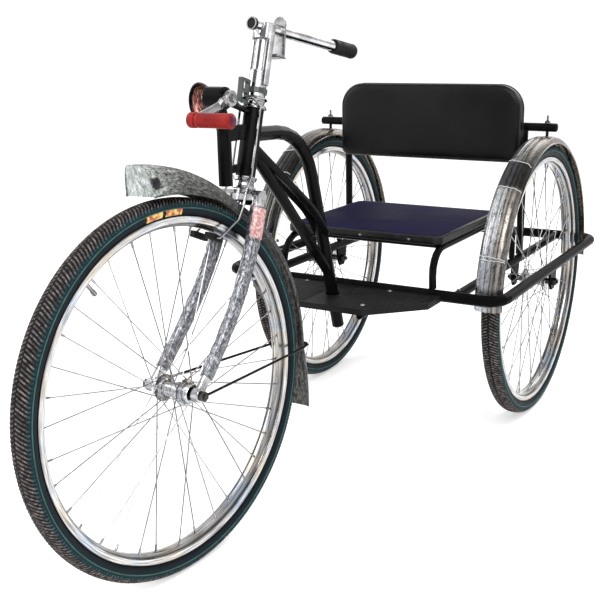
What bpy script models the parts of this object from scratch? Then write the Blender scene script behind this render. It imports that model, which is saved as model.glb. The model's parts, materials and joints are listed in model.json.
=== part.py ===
"""Hand-cranked wheelchair tricycle: two wheels behind, one steered wheel in front.

Metres. +Z is up, -Y is forward and +X is the rider's left. The work frame has its origin on the
floor under the front hub with the steering straight. At the end everything is moved along Y and Z
so that the origin is the bottom centre of the whole tricycle's box.
"""
import bmesh
import bpy
import math
from mathutils import Matrix, Vector

# Driving dimensions, in metres and degrees.
FIT = 0.0003
WHEEL_R = 0.356
TYRE_W = 0.043
TYRE_DEEP = 0.0335
RIM_DEEP = 0.0195
RIM_W = 0.035
SPOKES = 36
SPOKE_R = 0.0015
AXLE_R = 0.005
AXLE_PLAY = 0.0004
HUB_FLANGE_R = 0.026
HUB_BARREL_R = 0.015
HUB_FLANGE_X = 0.027
FRONT_HUB_HALF = 0.045
REAR_HUB_HALF = 0.032
NUT_R = 0.010
NUT_LONG = 0.0088
TRACK = 0.640
HEAD_ANGLE = 73.0
FORK_OFFSET = 0.119
STEER_AT_REST = -6.0

# Mudguards.
GUARD_GAP = 0.0185
GUARD_W = 0.060
GUARD_LIP = 0.016
GUARD_THICK = 0.0022
GUARD_TAIL = -22.0
GUARD_TIP = 97.0
TIP_FLARE = 0.050
TIP_SKIRT = 0.040
TAIL_FLARE = 0.037
REAR_GUARD_GAP = 0.018
REAR_GUARD_W = 0.066
REAR_GUARD_STEP = 6.0
REAR_GUARD_STEPS = 30

# Fork, head and column. Distances along the steering axis start beside the front hub.
CROWN_GAP = 0.022
CROWN_SIZE = (0.016, 0.014)
STEERER_R = 0.0135
BLADE_TOP_X = 0.042
BLADE_TOP = (0.0115, 0.0150)
BLADE_FOOT = (0.0085, 0.0110)
BLADE_BOW = 0.031
HEAD_LONG = 0.132
HEAD_R = 0.0195
HEAD_WALL = 0.0050
LOW_CUP = 0.0240
HIGH_CUP = 0.0220
CUP_R = 0.0225
COLUMN_R = 0.0180
COLUMN_LOW = 0.052
COLUMN_LONG = 0.139
SIDE_TUBE_R = 0.0088
SIDE_TUBE_X = 0.0165
STEERER_IN_COLUMN = 0.034
TILLER_R = 0.0110
TILLER_DROP = 9.9
TILLER_FORE = 0.034
TILLER_AFT = 0.308
GRIP_LONG = 0.076
GRIP_R = 0.0155
PLATE_BACK = 0.046
PLATE_SIZE = (0.030, 0.078)

# Brake linkage.
ROD_R = 0.0025
ROD_OUT = 0.0280
ROD_SPREAD = 65.0
YOKE_FORE = 0.038
BRACKET_DROP = 0.018
STIRRUP_X = 0.034
PAD_GAP = 0.005
PAD_SIZE = (0.011, 0.040, 0.012)
PAD_X = 0.0125
PAD_ANGLE = 67.0

# Crank and its post.
CRANK_DOWN = 0.0078
CRANK_FORE = 0.1240
CRANK_ARM = 0.133
CRANK_REST = 12.5
CRANK_X = 0.028
ARM_X = 0.0415
CRANK_AXLE_R = 0.0078
CRANK_PLAY = 0.0006
SHELL_R = 0.0205
SHELL_HALF = 0.020
POST_R = 0.0140
POST_LEAN = 0.017
POST_FOOT_GAP = 0.008
HANDLE_R = 0.0135
HANDLE_LONG = 0.076

# Frame and chassis.
TUBE_R = 0.0145
TOP_TUBE_BELOW = 0.049
BEND_BACK = 0.200
BEND_DROP = 0.009
BEND_R = 0.150
TWIN_R = 0.0085
TWIN_X = 0.0110
TWIN_BELOW = 0.072
STRUT_R = 0.0120
RAIL_R = 0.0135
RAIL_IN_R = 0.0115
RAIL_RISE = 0.044
RAIL_OUT = 0.050
RAIL_IN = 0.060
RAIL_CORNER = 0.045
REAR_TUBE_GAP = 0.039
FRONT_TUBE_GAP = 0.064
TOE_ROOM = 0.130
FOOT_DEEP = 0.184
FOOT_X = 0.235
FOOT_NOSE = (0.125, 0.112)
FOOT_THICK = 0.014
FOOT_UP = 0.005
FOOT_BAR_R = 0.0068
MAST_FOOT = 0.084
MAST_BELOW = 0.078
LINK_R = 0.0085
BRACKET_THICK = 0.006
BRACKET_BELOW = 0.020
BACK_FROM_AXLE = 0.043
BACK_BAR_UP = 0.350
BACK_BAR_R = 0.011
BACK_BAR_END = 0.024
POST_TUBE_R = 0.010
STUD_R = 0.004
BACKREST_GAP = 0.027
BACKREST_BELOW = 0.089
BACKREST_HIGH = 0.196
BACKREST_THICK = 0.032
BACKREST_ROUND = 0.062
BACKREST_FOOT_ROUND = 0.020
SEAT_INSIDE = 0.051
SEAT_FRONT = 0.030
SEAT_LONG = 0.400
SEAT_UP = 0.130
SEAT_THICK = 0.020
SEAT_RAIL_R = 0.009

# Lamp.
LAMP_SIDE = 0.0720
LAMP_R = 0.0375
LAMP_LONG = 0.066
LAMP_TURN = 20.0
LAMP_BACK = 0.118

# What follows from them.
HUB_Z = WHEEL_R
RIM_R_OUT = WHEEL_R - TYRE_DEEP
RIM_R_IN = RIM_R_OUT - RIM_DEEP
GUARD_R = WHEEL_R + GUARD_GAP
REAR_GUARD_R = WHEEL_R + REAR_GUARD_GAP
RAIL_Z = HUB_Z + RAIL_RISE
FOOT_Y0 = WHEEL_R + TOE_ROOM
FRONT_TUBE_Y = FOOT_Y0 + FOOT_DEEP + RAIL_R + FOOT_BAR_R
REAR_HUB_Y = FRONT_TUBE_Y + FRONT_TUBE_GAP + WHEEL_R
REAR_TUBE_Y = REAR_HUB_Y + WHEEL_R + REAR_TUBE_GAP
RAIL_X = TRACK / 2 + RAIL_OUT
RAIL_IN_X = TRACK / 2 - RAIL_IN
BACK_Y = REAR_HUB_Y + BACK_FROM_AXLE
BACK_BAR_Z = RAIL_Z + BACK_BAR_UP
BACKREST_X = TRACK / 2 - REAR_GUARD_W / 2 - BACKREST_GAP
BACKREST_Z0 = BACK_BAR_Z - BACKREST_BELOW
BACKREST_Z1 = BACKREST_Z0 + BACKREST_HIGH
SEAT_X = RAIL_IN_X - SEAT_INSIDE
SEAT_Y0 = FRONT_TUBE_Y + SEAT_FRONT
SEAT_Y1 = SEAT_Y0 + SEAT_LONG
SEAT_Z = RAIL_Z + SEAT_UP
SEAT_RAIL_Z = SEAT_Z - SEAT_THICK - SEAT_RAIL_R - FIT
FOOT_TOP_Z = RAIL_Z + FOOT_UP
FOOT_BAR_Z = FOOT_TOP_Z - FOOT_THICK - FOOT_BAR_R - FIT
BLADE_FOOT_X = FRONT_HUB_HALF + 0.0045 + BLADE_FOOT[0]
REAR_GUARD_START = math.degrees(math.acos(BACK_FROM_AXLE / REAR_GUARD_R)) - 14 * REAR_GUARD_STEP

LEAN = math.radians(HEAD_ANGLE)
FRONT_HUB = Vector((0.0, 0.0, HUB_Z))
LEFT_HUB = Vector((TRACK / 2, REAR_HUB_Y, HUB_Z))
RIGHT_HUB = Vector((-TRACK / 2, REAR_HUB_Y, HUB_Z))
STEER_DIR = Vector((0.0, math.cos(LEAN), math.sin(LEAN)))
STEER_FRONT = Vector((0.0, -math.sin(LEAN), math.cos(LEAN)))
STEER_AT = FRONT_HUB + Vector((0.0, FORK_OFFSET / math.sin(LEAN), 0.0))
AXIS_FOOT = FRONT_HUB - STEER_FRONT * FORK_OFFSET
CROWN_S = math.sqrt((GUARD_R + CROWN_GAP) ** 2 - FORK_OFFSET ** 2)
LOW_CUP_S = CROWN_S + CROWN_SIZE[0] + FIT
HEAD_LOW_S = LOW_CUP_S + LOW_CUP + FIT
HEAD_HIGH_S = HEAD_LOW_S + HEAD_LONG
HIGH_CUP_S = HEAD_HIGH_S + FIT
COLUMN_S = HIGH_CUP_S + HIGH_CUP + FIT
TILLER_S = COLUMN_S + COLUMN_LONG

COLOURS = {
    "black_paint": ((0.012, 0.012, 0.014), 0.1, 0.28),
    "black_plastic": ((0.016, 0.016, 0.017), 0.0, 0.45),
    "navy_board": ((0.020, 0.024, 0.055), 0.0, 0.5),
    "black_padding": ((0.014, 0.014, 0.016), 0.0, 0.6),
    "chrome": ((0.78, 0.79, 0.80), 1.0, 0.12),
    "steel": ((0.55, 0.56, 0.57), 1.0, 0.3),
    "rubber": ((0.015, 0.015, 0.015), 0.0, 0.8),
    "red_plastic": ((0.62, 0.05, 0.04), 0.0, 0.35),
}
SIDEWAYS = Vector((1.0, 0.0, 0.0))
UPWARD = Vector((0.0, 0.0, 1.0))


def material(name):
    found = bpy.data.materials.get(name)
    if found:
        return found
    colour, metal, rough = COLOURS[name]
    made = bpy.data.materials.new(name)
    made.use_nodes = True
    shader = made.node_tree.nodes["Principled BSDF"]
    shader.inputs["Base Color"].default_value = (*colour, 1.0)
    shader.inputs["Metallic"].default_value = metal
    shader.inputs["Roughness"].default_value = rough
    made.diffuse_color = (*colour, 1.0)
    return made


def make(name, verts, faces):
    mesh = bpy.data.meshes.new(name)
    mesh.from_pydata([tuple(v) for v in verts], [], faces)
    work = bmesh.new()
    work.from_mesh(mesh)
    bmesh.ops.remove_doubles(work, verts=work.verts, dist=1e-6)
    bmesh.ops.recalc_face_normals(work, faces=work.faces)
    work.to_mesh(mesh)
    work.free()
    made = bpy.data.objects.new(name, mesh)
    bpy.context.scene.collection.objects.link(made)
    return made


def ring_loft(name, rings, closed=False):
    """Skin a list of equal point rings, capped at both ends unless closed."""
    count = len(rings[0])
    verts = [p for ring in rings for p in ring]
    faces = []
    steps = len(rings) if closed else len(rings) - 1
    for i in range(steps):
        a = i * count
        b = ((i + 1) % len(rings)) * count
        for j in range(count):
            k = (j + 1) % count
            faces.append((a + j, a + k, b + k, b + j))
    if not closed:
        faces.append(tuple(range(count))[::-1])
        last = (len(rings) - 1) * count
        faces.append(tuple(range(last, last + count)))
    return make(name, verts, faces)


def rounded(points, radius, steps=4):
    """A path whose inner corners are arcs. radius is one number or one for each corner."""
    points = [Vector(p) for p in points]
    path = [points[0]]
    for i in range(1, len(points) - 1):
        size = radius[i - 1] if isinstance(radius, tuple) else radius
        first = (points[i] - points[i - 1]).normalized()
        second = (points[i + 1] - points[i]).normalized()
        turn = first.angle(second)
        start = points[i] - first * size * math.tan(turn / 2)
        centre = points[i] + (second - first).normalized() * size / math.cos(turn / 2)
        axis = first.cross(second).normalized()
        for k in range(steps + 1):
            path.append(centre + Matrix.Rotation(turn * k / steps, 3, axis) @ (start - centre))
    path.append(points[-1])
    return path


def mirrored(points):
    return [Vector((-p[0], p[1], p[2])) for p in points]


def tube(name, path, radius, sides=10, up=SIDEWAYS, closed=False, turn=0.5):
    """A round bar along a path, mitred at its corners.

    radius is one number, (wide, high), or a list with one (wide, high) for each point."""
    path = [Vector(p) for p in path]
    rings = []
    total = len(path)
    for i, point in enumerate(path):
        size = radius[i] if isinstance(radius, list) else radius
        wide, high = size if isinstance(size, tuple) else (size, size)
        before = path[i - 1] if (i > 0 or closed) else None
        after = path[(i + 1) % total] if (i < total - 1 or closed) else None
        first = (point - before).normalized() if before is not None else (after - point).normalized()
        second = (after - point).normalized() if after is not None else first
        along = (first + second).normalized()
        side = (up - along * up.dot(along)).normalized()
        other = along.cross(side)
        bend = (second - first)
        stretch = 1.0 / max(0.35, along.dot(first))
        ring = []
        for j in range(sides):
            angle = 2 * math.pi * (j + turn) / sides
            offset = side * wide * math.cos(angle) + other * high * math.sin(angle)
            if bend.length > 1e-6:
                out = bend.normalized()
                offset += out * out.dot(offset) * (stretch - 1.0)
            ring.append(point + offset)
        rings.append(ring)
    return ring_loft(name, rings, closed)


def lathe(name, profile, centre, axis=SIDEWAYS, steps=16, closed_profile=True, turn=0.0):
    """Turn (radius, along) points about an axis. A closed profile gives a ring."""
    axis = axis.normalized()
    guide = UPWARD if abs(axis.z) < 0.9 else Vector((0.0, 1.0, 0.0))
    side = (guide - axis * guide.dot(axis)).normalized()
    other = axis.cross(side)
    centre = Vector(centre)
    spokes = []
    for i in range(steps):
        angle = 2 * math.pi * (i + turn) / steps
        spokes.append(side * math.cos(angle) + other * math.sin(angle))
    if closed_profile:
        return ring_loft(name, [[centre + out * r + axis * a for r, a in profile] for out in spokes], closed=True)
    return ring_loft(name, [[centre + out * r + axis * a for out in spokes] for r, a in profile])


def rod(name, start, end, radius, sides=10):
    start = Vector(start)
    end = Vector(end)
    return lathe(name, [(radius, 0.0), (radius, (end - start).length)], start, end - start, sides, False)


def box(name, low, high, bevel=0.0):
    x0, y0, z0 = low
    x1, y1, z1 = high
    b = bevel
    ring = [
        (x0 + b, y0), (x1 - b, y0), (x1 - b * 0.3, y0 + b * 0.3), (x1, y0 + b),
        (x1, y1 - b), (x1 - b * 0.3, y1 - b * 0.3), (x1 - b, y1), (x0 + b, y1),
        (x0 + b * 0.3, y1 - b * 0.3), (x0, y1 - b), (x0, y0 + b), (x0 + b * 0.3, y0 + b * 0.3),
    ]
    if b <= 0:
        ring = [(x0, y0), (x1, y0), (x1, y1), (x0, y1)]
    return ring_loft(name, [[Vector((x, y, z)) for x, y in ring] for z in (z0, z1)])


def plate(name, outline, thick, matrix):
    """A flat plate: outline in its own XY plane, thick along its own Z, placed by a matrix."""
    rings = [[matrix @ Vector((x, y, z)) for x, y in outline] for z in (-thick / 2, thick / 2)]
    return ring_loft(name, rings)


def side_plate(name, corners, thick, x=0.0):
    """A flat plate square to X, from corners given as points."""
    rings = [[Vector((x + way * thick / 2, c[1], c[2])) for c in corners] for way in (-1, 1)]
    return ring_loft(name, rings)


def fuse(name, pieces, mode="UNION"):
    """One body from several that overlap."""
    base = pieces[0]
    for other in pieces[1:]:
        step = base.modifiers.new("fuse", "BOOLEAN")
        step.operation = mode
        step.solver = "EXACT"
        step.object = other
    bpy.context.view_layer.update()
    graph = bpy.context.evaluated_depsgraph_get()
    mesh = bpy.data.meshes.new_from_object(base.evaluated_get(graph))
    for piece in pieces:
        bpy.data.objects.remove(piece)
    work = bmesh.new()
    work.from_mesh(mesh)
    bmesh.ops.remove_doubles(work, verts=work.verts, dist=2e-5)
    bmesh.ops.dissolve_limit(work, angle_limit=math.radians(0.4), verts=work.verts, edges=work.edges)
    bmesh.ops.recalc_face_normals(work, faces=work.faces)
    work.to_mesh(mesh)
    work.free()
    made = bpy.data.objects.new(name, mesh)
    bpy.context.scene.collection.objects.link(made)
    return made


def cut(name, piece, tools):
    return fuse(name, [piece] + tools, "DIFFERENCE")


STEERED = Matrix.Translation(STEER_AT) @ Matrix.Rotation(math.radians(STEER_AT_REST), 4, STEER_DIR) @ (
    Matrix.Translation(-STEER_AT))


def finish(made, name, colour, steered=False):
    made.name = name
    made.data.name = name
    if steered:
        made.data.transform(STEERED)
    made.data.materials.clear()
    made.data.materials.append(material(colour))
    return made


def on_axis(along, forward=0.0, side=0.0):
    """A point by its distance up the steering axis and in front of it."""
    return AXIS_FOOT + STEER_DIR * along + STEER_FRONT * forward + SIDEWAYS * side


def around(hub, radius, angle, x=0.0):
    """A point around a hub. Angles are in degrees from straight back, up and over to the front."""
    turn = math.radians(angle)
    return hub + Vector((x, math.cos(turn) * radius, math.sin(turn) * radius))


def tyre(name, centre):
    half = TYRE_W / 2
    seat = RIM_R_OUT + FIT
    deep = WHEEL_R - seat
    flank = [(0.0, 0.62), (0.29, 0.95), (0.56, 1.0), (0.83, 0.72), (1.0, 0.22)]
    profile = [(seat + deep * up, -half * out) for up, out in flank]
    profile += [(seat + deep * up, half * out) for up, out in reversed(flank)]
    return lathe(name, profile, centre, steps=48, turn=0.5)


def wheel(name, centre, hub_half):
    """Rim, spokes and hub as one body, turned about X."""
    half = RIM_W / 2
    brow = RIM_R_IN + RIM_DEEP * 0.46
    rim = lathe(name + "_rim", [
        (RIM_R_IN, -half * 0.45), (brow, -half), (RIM_R_OUT, -half),
        (RIM_R_OUT, half), (brow, half), (RIM_R_IN, half * 0.45)],
        centre, steps=48, turn=0.5)
    f = HUB_FLANGE_X
    bore = AXLE_R + AXLE_PLAY
    neck = HUB_BARREL_R + 0.003
    hub = lathe(name + "_hub", [
        (bore, -hub_half), (neck, -hub_half), (neck, -f - 0.003),
        (HUB_FLANGE_R, -f - 0.003), (HUB_FLANGE_R, -f + 0.001), (HUB_BARREL_R, -f + 0.003),
        (HUB_BARREL_R, f - 0.003), (HUB_FLANGE_R, f - 0.001), (HUB_FLANGE_R, f + 0.003),
        (neck, f + 0.003), (neck, hub_half), (bore, hub_half)],
        centre, steps=18)
    pieces = [rim, hub]
    for i in range(SPOKES):
        flank = -1 if i % 2 else 1
        angle = 360.0 * (i + 0.5) / SPOKES
        low = around(centre, HUB_FLANGE_R - 0.004, angle + 16.0 * flank, flank * f)
        high = around(centre, RIM_R_IN + RIM_DEEP * 0.3, angle, flank * 0.004)
        pieces.append(rod(name + "_spoke", low, high, SPOKE_R, 3))
    return fuse(name, pieces)


def guard_section(radius, half, lip):
    thick = GUARD_THICK
    outer = [(radius - lip, half), (radius - lip * 0.35, half * 0.86), (radius, half * 0.5)]
    inner = [(radius - thick, half * 0.5 - thick * 0.5),
             (radius - lip * 0.35 - thick * 0.6, half * 0.86 - thick * 0.9), (radius - lip, half - thick)]
    ring = [(r, -x) for r, x in outer] + [(r, x) for r, x in reversed(outer)]
    return ring + [(r, x) for r, x in reversed(inner)] + [(r, -x) for r, x in inner]


def arch(name, hub, angles, section_at):
    """A mudguard: a shallow channel around a wheel, with a section for each angle."""
    return ring_loft(name, [[around(hub, r, angle, x) for r, x in section_at(angle)] for angle in angles])


def front_guard_radius(angle):
    """The front guard follows the wheel, lifts towards its tip and opens a little at its tail."""
    lift = max(0.0, (angle - 60.0) / (GUARD_TIP - 60.0))
    tail = max(0.0, (angle + 2.0) / (GUARD_TAIL + 2.0))
    return GUARD_R + TIP_FLARE * lift ** 1.1 + TAIL_FLARE * tail ** 1.2


def front_guard_section(angle):
    lift = max(0.0, (angle - 60.0) / (GUARD_TIP - 60.0))
    return guard_section(front_guard_radius(angle), GUARD_W / 2 + 0.005 * lift, GUARD_LIP + TIP_SKIRT * lift)


def rear_guard_section(angle):
    return guard_section(REAR_GUARD_R, REAR_GUARD_W / 2, GUARD_LIP)


for old in list(bpy.data.objects):
    bpy.data.objects.remove(old)

# Wheels.
finish(tyre("front_tyre", FRONT_HUB), "front_tyre", "rubber", True)
finish(wheel("front_wheel_rim", FRONT_HUB, FRONT_HUB_HALF), "front_wheel_rim", "chrome", True)
for side, hub in (("left", LEFT_HUB), ("right", RIGHT_HUB)):
    finish(tyre("rear_tyre_" + side, hub), "rear_tyre_" + side, "rubber")
    finish(wheel("rear_wheel_rim_" + side, hub, REAR_HUB_HALF), "rear_wheel_rim_" + side, "chrome")

# Main frame: head tube, a mast that bends down from it, a curved pair of tubes and a straight strut.
top_from = on_axis(HEAD_HIGH_S - TOP_TUBE_BELOW)
bend = top_from + Vector((0.0, BEND_BACK, -BEND_DROP))
mast_foot = Vector((0.0, FRONT_TUBE_Y - MAST_FOOT, RAIL_Z - MAST_BELOW))
mast = rounded([top_from, bend, mast_foot], BEND_R, 6)
twin_from = on_axis(HEAD_HIGH_S - TWIN_BELOW)
pieces = [rod("head", on_axis(HEAD_LOW_S), on_axis(HEAD_HIGH_S), HEAD_R, 14)]
pieces.append(tube("mast", mast, TUBE_R, 10))
for side in (-1, 1):
    twin_end = bend.lerp(mast_foot, 0.50)
    twin_bend = twin_from.lerp(twin_end, 0.78) + Vector((0.0, 0.008, 0.014))
    shift = SIDEWAYS * TWIN_X * side
    pieces.append(tube("twin", [p + shift for p in rounded([twin_from, twin_bend, twin_end], 0.22, 3)], TWIN_R, 8))
pieces.append(rod("strut", twin_from, bend.lerp(mast_foot, 0.71), STRUT_R, 10))
link_z = FOOT_TOP_Z - FOOT_THICK - LINK_R - 2 * FIT
link_from = mast_foot.lerp(bend, (link_z - mast_foot.z) / (bend.z - mast_foot.z))
pieces.append(rod("link", link_from, (0, FRONT_TUBE_Y, link_z), LINK_R, 8))
main = fuse("main_frame", pieces)
main = cut("main_frame", main, [
    rod("bore", on_axis(HEAD_LOW_S - 0.03), on_axis(HEAD_HIGH_S + 0.03), HEAD_R - HEAD_WALL, 14),
    tube("room", [(-0.1, FRONT_TUBE_Y, RAIL_Z), (0.1, FRONT_TUBE_Y, RAIL_Z)], RAIL_R + FIT, 10, UPWARD)])
finish(main, "main_frame", "black_paint")

# Chassis: a level ladder of tube that carries seat, footboard, backrest and rear wheels.
half_loop = rounded([(0, FRONT_TUBE_Y, RAIL_Z), (RAIL_X, FRONT_TUBE_Y, RAIL_Z), (RAIL_X, REAR_TUBE_Y, RAIL_Z),
                     (0, REAR_TUBE_Y, RAIL_Z)], RAIL_CORNER, 4)[1:-1]
pieces = [tube("loop", half_loop + mirrored(reversed(half_loop)), RAIL_R, 10, UPWARD, True)]
stub_step = round((math.degrees(math.asin(RAIL_RISE / REAR_GUARD_R)) - REAR_GUARD_START) / REAR_GUARD_STEP)
stub_angle = REAR_GUARD_START + stub_step * REAR_GUARD_STEP
for side, hub in ((1, LEFT_HUB), (-1, RIGHT_HUB)):
    stub_end = around(hub, REAR_GUARD_R + FIT, stub_angle)
    stub_way = (around(hub, 1.0, stub_angle) - hub) * 0.010
    pieces.append(tube("guard_stub", [(hub.x, REAR_TUBE_Y, RAIL_Z), stub_end + stub_way, stub_end], 0.005, 8))
    pieces.append(rod("inner", (side * RAIL_IN_X, FRONT_TUBE_Y, RAIL_Z), (side * RAIL_IN_X, REAR_TUBE_Y, RAIL_Z),
                      RAIL_IN_R))
    x = side * FOOT_NOSE[0] * 0.9
    pieces.append(tube("foot_bar", [(x, FRONT_TUBE_Y, RAIL_Z - 0.008), (x, FRONT_TUBE_Y - RAIL_R, FOOT_BAR_Z),
                                    (x, FOOT_Y0 + 0.012, FOOT_BAR_Z)], FOOT_BAR_R, 8))
    low = -RAIL_RISE - BRACKET_BELOW
    for x, way in ((RAIL_X, -1), (RAIL_IN_X, 1)):
        bracket = [(-0.030, 0.002), (-0.022, low + 0.018), (-0.012, low), (0.012, low), (0.022, low + 0.018),
                   (0.030, 0.002)]
        corners = [(0, REAR_HUB_Y + y, RAIL_Z + z) for y, z in bracket]
        pieces.append(side_plate("bracket", corners, BRACKET_THICK, side * (x + way * 0.004)))
chassis = fuse("chassis", pieces)
tools = [rod("slot", (side * (RAIL_IN_X - 0.05), REAR_HUB_Y, HUB_Z), (side * (RAIL_X + 0.05), REAR_HUB_Y, HUB_Z),
             AXLE_R + FIT, 10) for side in (-1, 1)]
finish(cut("chassis", chassis, tools), "chassis", "black_paint")

# Rear axles with their spacers and nuts.
for side, name in ((1, "left"), (-1, "right")):
    inner = RAIL_IN_X + 0.004
    outer = RAIL_X - 0.004
    face = BRACKET_THICK / 2 + FIT
    reach = REAR_HUB_HALF + FIT

    def span(label, a, b, radius, sides=10):
        return rod(label, (side * a, REAR_HUB_Y, HUB_Z), (side * b, REAR_HUB_Y, HUB_Z), radius, sides)

    pieces = [span("axle", inner - face - NUT_LONG - 0.006, outer + face + NUT_LONG + 0.004, AXLE_R)]
    pieces.append(span("spacer", inner + face, TRACK / 2 - reach, AXLE_R + 0.003))
    pieces.append(span("spacer", outer - face, TRACK / 2 + reach, AXLE_R + 0.003))
    pieces.append(span("nut", inner - face, inner - face - NUT_LONG, NUT_R, 6))
    pieces.append(span("nut", outer + face, outer + face + NUT_LONG, NUT_R, 6))
    finish(fuse("axle", pieces), "rear_axle_" + name, "steel")

# Seat and its frame.
finish(box("seat", (-SEAT_X, SEAT_Y0, SEAT_Z - SEAT_THICK), (SEAT_X, SEAT_Y1, SEAT_Z), 0.024), "seat", "navy_board")
rail_x = SEAT_X - SEAT_RAIL_R
back_y = SEAT_Y1 - 0.030
pieces = []
for side in (-1, 1):
    leg = rounded([(side * (rail_x + 0.004), FRONT_TUBE_Y + 0.004, RAIL_Z + RAIL_R + FIT),
                   (side * rail_x, FRONT_TUBE_Y + 0.008, SEAT_RAIL_Z), (side * rail_x, back_y, SEAT_RAIL_Z)], 0.062, 5)
    pieces.append(tube("leg", leg, SEAT_RAIL_R, 8))
cross_r = SEAT_RAIL_R - 0.001
cross_y = SEAT_Y0 + 0.050
pieces.append(rod("cross", (-rail_x, cross_y, SEAT_RAIL_Z), (rail_x, cross_y, SEAT_RAIL_Z), cross_r, 8))
foot = (RAIL_IN_X, back_y, RAIL_Z + RAIL_IN_R + FIT)
corner = (RAIL_IN_X, back_y, SEAT_RAIL_Z)
bow = rounded([foot, corner, (-RAIL_IN_X, back_y, SEAT_RAIL_Z), (-RAIL_IN_X, back_y, foot[2])], 0.030, 3)
pieces.append(tube("bow", bow, cross_r, 8, Vector((0.0, 1.0, 0.0))))
finish(fuse("seat_frame", pieces), "seat_frame", "black_paint")

# Footboard, with the mast through it.
nose_x, nose_long = FOOT_NOSE
outline = [(-nose_x, FOOT_Y0), (nose_x, FOOT_Y0), (FOOT_X, FOOT_Y0 + nose_long), (FOOT_X, FOOT_Y0 + FOOT_DEEP),
           (-FOOT_X, FOOT_Y0 + FOOT_DEEP), (-FOOT_X, FOOT_Y0 + nose_long)]
board = plate("footboard", outline, FOOT_THICK, Matrix.Translation((0.0, 0.0, FOOT_TOP_Z - FOOT_THICK / 2)))
board = cut("footboard", board, [tube("room", mast, TUBE_R + 0.003, 10)])
finish(board, "footboard", "navy_board")

# Backrest and the bar and posts behind it.
outline = []
for round_r, z, way, turns, steps in ((BACKREST_ROUND, BACKREST_Z1, -1, (0, 90), 4),
                                      (BACKREST_FOOT_ROUND, BACKREST_Z0, 1, (180, 270), 2)):
    for start in turns:
        x = (BACKREST_X - round_r) * (1 if start in (0, 270) else -1)
        for k in range(steps + 1):
            a = math.radians(start + 90.0 * k / steps)
            outline.append((x + round_r * math.cos(a), z + way * round_r + round_r * math.sin(a)))
backrest_y = BACK_Y - BACK_BAR_R - FIT - BACKREST_THICK / 2
frame = Matrix(((1, 0, 0, 0), (0, 0, 1, backrest_y), (0, 1, 0, 0), (0, 0, 0, 1)))
finish(plate("backrest", outline, BACKREST_THICK, frame), "backrest", "black_padding")

bar_x = TRACK / 2 + BACK_BAR_END
pieces = [rod("bar", (-bar_x, BACK_Y, BACK_BAR_Z), (bar_x, BACK_Y, BACK_BAR_Z), BACK_BAR_R)]
for side, hub in ((1, LEFT_HUB), (-1, RIGHT_HUB)):
    x = side * RAIL_IN_X
    pieces.append(rod("post", (x, BACK_Y, RAIL_Z + RAIL_IN_R + FIT), (x, BACK_Y, BACK_BAR_Z), POST_TUBE_R))
    guard_top = around(hub, REAR_GUARD_R, REAR_GUARD_START + 14 * REAR_GUARD_STEP)
    stud_top = (hub.x, BACK_Y, BACK_BAR_Z + BACK_BAR_R + 0.007)
    pieces.append(rod("stud", guard_top + UPWARD * 0.0004, stud_top, STUD_R, 6))
finish(fuse("back_frame", pieces), "back_frame", "black_paint")

# Rear mudguards.
for hub, name in ((LEFT_HUB, "left"), (RIGHT_HUB, "right")):
    angles = [REAR_GUARD_START + i * REAR_GUARD_STEP for i in range(REAR_GUARD_STEPS + 1)]
    finish(arch("guard", hub, angles, rear_guard_section), "rear_mudguard_" + name, "chrome")

# Fork.
crown = on_axis(CROWN_S)
crown_angle = math.degrees(math.atan2(crown.z - HUB_Z, crown.y))
pieces = [rod("steerer", on_axis(CROWN_S - 0.006), on_axis(COLUMN_S + STEERER_IN_COLUMN), STEERER_R, 14)]
crown_x = BLADE_TOP_X + BLADE_TOP[0] * 0.8
crown_path = [on_axis(CROWN_S, 0.0, -crown_x), on_axis(CROWN_S, 0.0, crown_x)]
pieces.append(tube("crown", crown_path, CROWN_SIZE, 8, STEER_DIR))
pieces.append(rod("tab", crown, around(FRONT_HUB, GUARD_R + 0.0004, crown_angle), 0.008, 8))
for side in (-1, 1):
    blade = []
    sizes = []
    for k in range(9):
        t = k / 8
        wide = BLADE_TOP[0] + (BLADE_FOOT[0] - BLADE_TOP[0]) * t
        deep = BLADE_TOP[1] + (BLADE_FOOT[1] - BLADE_TOP[1]) * t
        x = side * (BLADE_TOP_X + (BLADE_FOOT_X - BLADE_TOP_X) * t)
        bow = Vector((x, BLADE_BOW * math.sin(math.pi * t), 0.0))
        blade.append(crown.lerp(FRONT_HUB, t) + bow)
        sizes.append((wide, deep))
    pieces.append(tube("blade", blade, sizes, 8))
    pieces.append(rod("dropout", (side * (BLADE_FOOT_X - BLADE_FOOT[0]), 0, HUB_Z),
                      (side * (BLADE_FOOT_X + BLADE_FOOT[0]), 0, HUB_Z), 0.013, 12))
fork = cut("fork", fuse("fork", pieces), [rod("slot", (-0.2, 0, HUB_Z), (0.2, 0, HUB_Z), AXLE_R + FIT, 10)])
finish(fork, "fork", "chrome", True)
nut_x = BLADE_FOOT_X + BLADE_FOOT[0] + FIT
pieces = [rod("axle", (-nut_x - 0.0116, 0, HUB_Z), (nut_x + 0.0116, 0, HUB_Z), AXLE_R, 10)]
for side in (-1, 1):
    pieces.append(rod("nut", (side * nut_x, 0, HUB_Z), (side * (nut_x + NUT_LONG), 0, HUB_Z), NUT_R, 6))
finish(fuse("axle", pieces), "front_axle", "steel", True)

# Headset cups, column, tiller and what sits on them.
for name, start, long, low_r, high_r in (("headset_low", LOW_CUP_S, LOW_CUP, CUP_R * 0.86, CUP_R),
                                         ("headset_high", HIGH_CUP_S, HIGH_CUP, CUP_R, CUP_R * 0.9)):
    bore = STEERER_R + FIT
    cup = lathe(name, [(bore, 0.0), (low_r, 0.0), (low_r, long * 0.3), (CUP_R * 0.82, long * 0.45),
                       (CUP_R * 0.82, long * 0.6), (high_r, long * 0.7), (high_r, long), (bore, long)],
                on_axis(start), STEER_DIR, 14)
    finish(cup, name, "chrome", True)

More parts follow.
